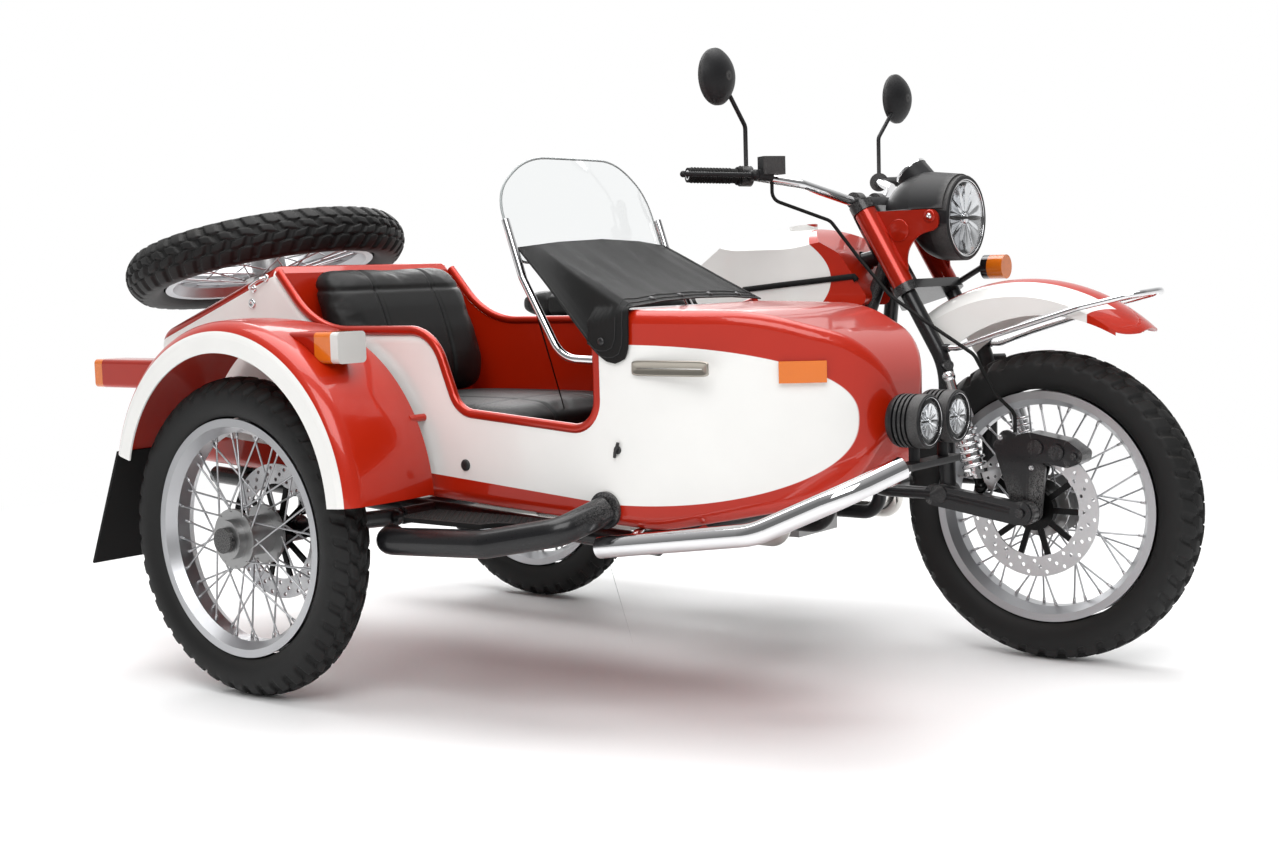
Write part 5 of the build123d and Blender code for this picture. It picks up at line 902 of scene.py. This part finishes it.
def grips():
    """Ribs round each rubber grip and a flange at its inner end."""
    sheets = []
    for side in (-1, 1):
        tip = np.array([838.0, side * 420.0, 1090.0])
        run = tip - np.array([922.0, side * 283.0, 1086.0])
        run /= np.linalg.norm(run)
        for step in range(13):
            sheets.append(tube(ring_path(tip - run * (10.0 + 7.6 * step), run, 16.4), 1.5, 8, closed=True))
        sheets.append(tube(ring_path(tip - run * 121.0, run, 18.0), 2.6, 10, closed=True))
    surface("grip_ribs", sheets, "rubber", "fork")


grips()


def nipples(hub, axis, first, second):
    """Forty spoke nipples at the rim of a wheel, each along its spoke."""
    hub, first, second, along = (np.asarray(value, dtype=float) for value in (hub, first, second, axis))
    sheets = []
    for side in (-1, 1):
        for index in range(20):
            lean = 1 if index % 2 else -1
            rim = 2.0 * pi * (index + 0.25 * side) / 20.0
            inner = rim - radians(lean * 38.0)
            start = hub + 59.0 * (cos(inner) * first + sin(inner) * second) + side * (40.0 + lean * 3.0) * along
            end = hub + 226.0 * (cos(rim) * first + sin(rim) * second) + side * 7.0 * along
            run = (start - end) / np.linalg.norm(start - end)
            sheets.append(lathe(((3.6, -1.0), (3.6, 7.0), (2.9, 15.0), (2.2, 15.4)), end, run, 8))
    return sheets


for wheel, hub, axis, body in WHEELS[:3]:
    surface(wheel + "_nipples", nipples(hub, (0.0, -1.0, 0.0), (1.0, 0.0, 0.0), (0.0, 0.0, 1.0)), "steel", body)


def plate(x_range, z_range, y, thick, corner=8.0):
    """Bare plate on the flank with rounded corners and a bevelled edge."""
    turn = np.linspace(0.0, 2.0 * pi, 64, endpoint=False)
    centre = np.array([sum(x_range) / 2, y, sum(z_range) / 2])
    half = np.array([(x_range[1] - x_range[0]) / 2, (z_range[1] - z_range[0]) / 2])
    rows = []
    for inset, out in ((0.0, -0.5), (0.0, 0.6 * thick), (1.6, thick), (4.0, thick), (5.0, 0.75 * thick),
                       (half[1] - 1.0, 0.75 * thick)):
        along, up = (size * wave for size, wave in zip(half - inset, squared_ring(turn, corner)))
        rows.append(np.stack([centre[0] + along, np.full(64, y - out), centre[2] + up], axis=-1))
    return np.stack(rows), False, True


def flank_trim():
    """Bare badge plate, grab handle, lock, turn-button and plugs on the sidecar's right side."""
    flank = -985.0
    surface("badge_plate", [plate((1108.0, 1284.0), (687.0, 716.0), flank, 3.0)], "pewter", "chassis")
    out = (0.0, -1.0, 0.0)
    handle = spline([(34.0, flank + 1.0, 866.0), (36.0, flank - 12.0, 868.0), (46.0, flank - 17.0, 874.0),
                     (66.0, flank - 17.0, 884.0), (76.0, flank - 12.0, 888.0), (78.0, flank + 1.0, 889.0)], 40)
    base = ((9.0, -0.5), (9.0, 2.0), (6.0, 3.2), (0.0, 3.4))
    lock = ((11.0, -0.5), (11.0, 3.0), (9.0, 4.4), (3.0, 4.6), (2.6, 3.0), (0.0, 3.0))
    bright = [tube(handle, 4.2, 10), lathe(base, (34.0, flank, 866.0), out, 20),
              lathe(base, (78.0, flank, 889.0), out, 20), lathe(lock, (28.0, flank, 833.0), out, 24)]
    surface("flank_handle", bright, "chrome", "chassis")
    button = [lathe(((8.0, -0.5), (8.0, 2.4), (5.0, 3.6), (0.0, 3.8)), (1068.0, flank, 545.0), out, 20),
              tube(spline([(1063.0, flank - 4.0, 531.0), (1066.0, flank - 6.0, 541.0), (1070.0, flank - 6.0, 550.0),
                           (1072.0, flank - 4.0, 560.0)], 16), 3.2, 8),
              lathe(((12.0, -0.5), (12.0, 2.0), (8.0, 4.0), (0.0, 4.6)), (670.0, flank, 497.0), out, 24)]
    surface("flank_fittings", button, "satin", "chassis")


flank_trim()


def drawn_to(node, points, gap):
    """Points moved to the nearest spot of a CAD node and stood off it by a gap, with the outward normals there."""
    tree = BVHTree.FromObject(NODES[node], bpy.context.evaluated_depsgraph_get())
    found = [tree.find_nearest(Vector(spot))[:2] for spot in place(points)]
    normals = np.array([list(normal) for _, normal in found])
    spots = (np.array([list(spot) for spot, _ in found]) - ORIGIN) * 1000.0
    return spots + gap * normals, normals


BOLT = ((6.0, -1.0), (6.0, 1.2), (4.6, 1.4), (4.6, 4.6), (3.8, 5.4), (1.6, 5.4), (1.4, 4.0), (0.0, 4.0))


def fork_trim():
    """Raised disc and bright bolt on each fork ear, bolts on the caliper, rubber strip on each tank side."""
    ears, bolts, strips = [], [], []
    for side in (-1.0, 1.0):
        marks = [(1189.0, side * 103.0, 956.0), (1266.0, side * 103.0, 985.0)]
        spots, normals = drawn_to("fork_covers", marks, 0.0)
        ears.append(lathe(((25.0, -1.0), (25.0, 1.6), (23.6, 2.2), (0.0, 2.2)), spots[0], normals[0], 40))
        ears.append(lathe(((14.0, -1.0), (14.0, 1.6), (11.0, 2.6), (0.0, 2.6)), spots[1], normals[1], 32))
        bolts.append(lathe(BOLT, spots[1] + 2.4 * normals[1], normals[1], 24))
        run = np.linspace(0.0, 1.0, 25)[:, None]
        front, rear = np.array([1103.0, side * 120.0, 858.0]), np.array([795.0, side * 140.0, 830.0])
        line = front * (1.0 - run) + rear * run
        path, _ = drawn_to("fuel_tank", line, 0.5)
        strips.append(tube(path, 7.0, 10))
    surface("ear_discs", ears, "red", "fork")
    surface("ear_bolts", bolts, "chrome", "fork")
    surface("tank_strips", strips, "rubber", "chassis")
    spots, normals = drawn_to("brake_caliper", [(1434.0, -125.0, 499.0), (1506.0, -125.0, 436.0)], 0.0)
    surface("caliper_bolts", [lathe(BOLT, spot, normal, 24) for spot, normal in zip(spots, normals)], "steel", "fork")


fork_trim()


def mat_lozenges():
    """Raised diamonds over the step's rubber mat, left clear of its outline."""
    top = layout_box("step_pad")[1][2]
    sheets = []
    for row in range(11):
        for column in range(24):
            x = 616.0 + column * 15.0 + (row % 2) * 7.5
            y = -1014.0 - row * 9.6
            limit = -1116.0 if x < 826.0 else -1090.0 + (x - 850.0) * 0.31 + 6.0
            if y < limit or x > 958.0:
                continue
            sheets.append(lathe(((5.6, -0.3), (3.4, 1.7), (0.0, 2.0)), (x, y, top), (0.0, 0.0, 1.0), 4))
    surface("step_mat_lozenges", sheets, "rubber", "chassis")


mat_lozenges()


def screen_edge():
    """Bead round the windscreen: an arched outline on its leaning, bowed face."""
    half, foot, top, drop = 246.0, 905.0, 1120.0, 74.0
    corners = np.array([(-half, foot), (half, foot), (half, top - drop), (half - 96.0, top), (-half + 96.0, top),
                        (-half, top - drop)])
    radii = (30.0, 30.0, 100.0, 180.0, 180.0, 100.0)
    line = []
    for index, radius in enumerate(radii):
        spot = corners[index]
        before, after = corners[index - 1] - spot, corners[(index + 1) % 6] - spot
        before, after = before / np.linalg.norm(before), after / np.linalg.norm(after)
        half_angle = np.arccos(np.clip(np.dot(before, after), -1.0, 1.0)) / 2
        reach = radius / np.tan(half_angle)
        first, last = spot + before * reach, spot + after * reach
        for part in np.linspace(0.0, 1.0, 9):
            line.append((1 - part) ** 2 * first + 2 * part * (1 - part) * spot + part ** 2 * last)
    line = np.array(line)
    bow = 26.0 * (line[:, 0] / half) ** 2
    x = 812.0 - bow - (line[:, 1] - 935.0) * np.tan(radians(19.0)) + 2.0
    path = np.stack([x, line[:, 0] + BODY_Y, line[:, 1]], axis=-1)
    surface("windscreen_edge", [tube(path, 2.6, 8, closed=True)], "edge", "chassis")


screen_edge()


def camera():
    """The photograph's camera, from its position, turn, dip, roll and focal length."""
    turn, dip, roll = radians(37.79), radians(5.32), radians(1.62)
    ahead = np.array([-sin(turn) * cos(dip), cos(turn) * cos(dip), -sin(dip)])
    right = np.array([cos(turn), sin(turn), 0.0])
    down = np.cross(ahead, right)
    rolled_right = cos(roll) * right + sin(roll) * down
    rolled_down = -sin(roll) * right + cos(roll) * down
    spot = place((3073.5, -3503.5, 886.6))
    view = Matrix.Identity(4)
    for row in range(3):
        view[row][0] = rolled_right[row]
        view[row][1] = -rolled_down[row]
        view[row][2] = -ahead[row]
        view[row][3] = spot[row]
    lens = bpy.data.cameras.new("photo_camera")
    lens.sensor_fit = "HORIZONTAL"
    lens.sensor_width = 36.0
    lens.lens = 47.99
    lens.clip_end = 200.0
    holder = bpy.data.objects.new("photo_camera", lens)
    holder.matrix_world = view
    bpy.context.scene.collection.objects.link(holder)
    bpy.context.scene.camera = holder


def softbox(name, spot, aim, size, power):
    """Rectangular area light at a point, turned to another."""
    light = bpy.data.lights.new(name, "AREA")
    light.shape = "RECTANGLE"
    light.size, light.size_y = size
    light.energy = power
    holder = bpy.data.objects.new(name, light)
    holder.location = spot
    holder.rotation_euler = (Vector(aim) - Vector(spot)).to_track_quat("-Z", "Y").to_euler()
    bpy.context.scene.collection.objects.link(holder)


def stage_floor():
    """Round pale floor that keeps the shadow near the outfit and fades into the white backdrop."""
    angle = np.linspace(0.0, 2.0 * pi, 96, endpoint=False)
    reach = np.array([0.0, 1.0, 2.0, 4.0, 8.0, 16.0, 40.0])[:, None]
    rings = np.stack([reach * np.cos(angle), reach * np.sin(angle), 0.0 * reach * angle], axis=-1)
    points, quads = grid([(rings, False, True)])
    mesh = bpy.data.meshes.new("floor")
    mesh.from_pydata(points.tolist(), [], quads.tolist())
    made = bpy.data.materials.new("pale_floor")
    made.use_nodes = True
    tree = made.node_tree
    shader = tree.nodes["Principled BSDF"]
    shader.inputs["Base Color"].default_value = (0.93, 0.93, 0.93, 1.0)
    shader.inputs["Roughness"].default_value = 0.6
    coordinates = tree.nodes.new("ShaderNodeTexCoord")
    length = tree.nodes.new("ShaderNodeVectorMath")
    length.operation = "LENGTH"
    tree.links.new(coordinates.outputs["Object"], length.inputs[0])
    far = Field(tree, length.outputs["Value"]).above(2.6, 2.4)
    path = tree.nodes.new("ShaderNodeLightPath")
    seen = Field(tree, path.outputs["Is Camera Ray"]).most(Field(tree, path.outputs["Is Glossy Ray"]))
    seen = seen.most(Field(tree, path.outputs["Is Transmission Ray"]))
    glow = tree.nodes.new("ShaderNodeEmission")
    mix = tree.nodes.new("ShaderNodeMixShader")
    tree.links.new((far * seen).socket, mix.inputs[0])
    tree.links.new(shader.outputs[0], mix.inputs[1])
    tree.links.new(glow.outputs[0], mix.inputs[2])
    tree.links.new(mix.outputs[0], tree.nodes["Material Output"].inputs["Surface"])
    mesh.materials.append(made)
    floor = bpy.data.objects.new("floor", mesh)
    bpy.context.scene.collection.objects.link(floor)


def backdrop():
    """White world before the camera and glass; metal and paint see it bright ahead and above, dim behind."""
    world = bpy.data.worlds.new("studio")
    bpy.context.scene.world = world
    world.use_nodes = True
    tree = world.node_tree
    tree.nodes.clear()
    path = tree.nodes.new("ShaderNodeLightPath")
    through = Field(tree, path.outputs["Is Transmission Ray"])
    bounced = Field(tree, path.outputs["Glossy Depth"]).above(0.5, 0.1)
    seen = Field(tree, path.outputs["Is Camera Ray"]).most(through * bounced.flip())
    shine = Field(tree, path.outputs["Is Glossy Ray"]).most(through * bounced)
    coordinates = tree.nodes.new("ShaderNodeTexCoord")
    split = tree.nodes.new("ShaderNodeSeparateXYZ")
    tree.links.new(coordinates.outputs["Generated"], split.inputs[0])
    x, y, z = (Field(tree, split.outputs[axis]) for axis in range(3))
    ahead = (x * -0.61 + y * 0.79).above(0.25, 1.1)
    overhead = z.above(0.75, 0.5) * 0.5
    mirrored = ahead.most(overhead) * 0.80 + 0.20
    strength = (seen * 1.0).most(shine * mirrored).most((seen.most(shine)).flip() * 0.50)
    light = tree.nodes.new("ShaderNodeBackground")
    tree.links.new(strength.socket, light.inputs["Strength"])
    light.inputs["Color"].default_value = (1.0, 1.0, 1.0, 1.0)
    output = tree.nodes.new("ShaderNodeOutputWorld")
    tree.links.new(light.outputs[0], output.inputs["Surface"])


camera()
backdrop()
stage_floor()
softbox("key", (2.6, -3.6, 4.2), (0.0, 0.0, 0.5), (3.6, 3.0), 180.0)
softbox("top", (-0.4, 0.2, 4.6), (0.0, 0.0, 0.4), (5.0, 3.6), 225.0)
softbox("back", (-3.4, 3.4, 3.0), (0.0, 0.0, 0.6), (3.0, 2.4), 90.0)
bpy.context.scene.view_settings.view_transform = "Standard"
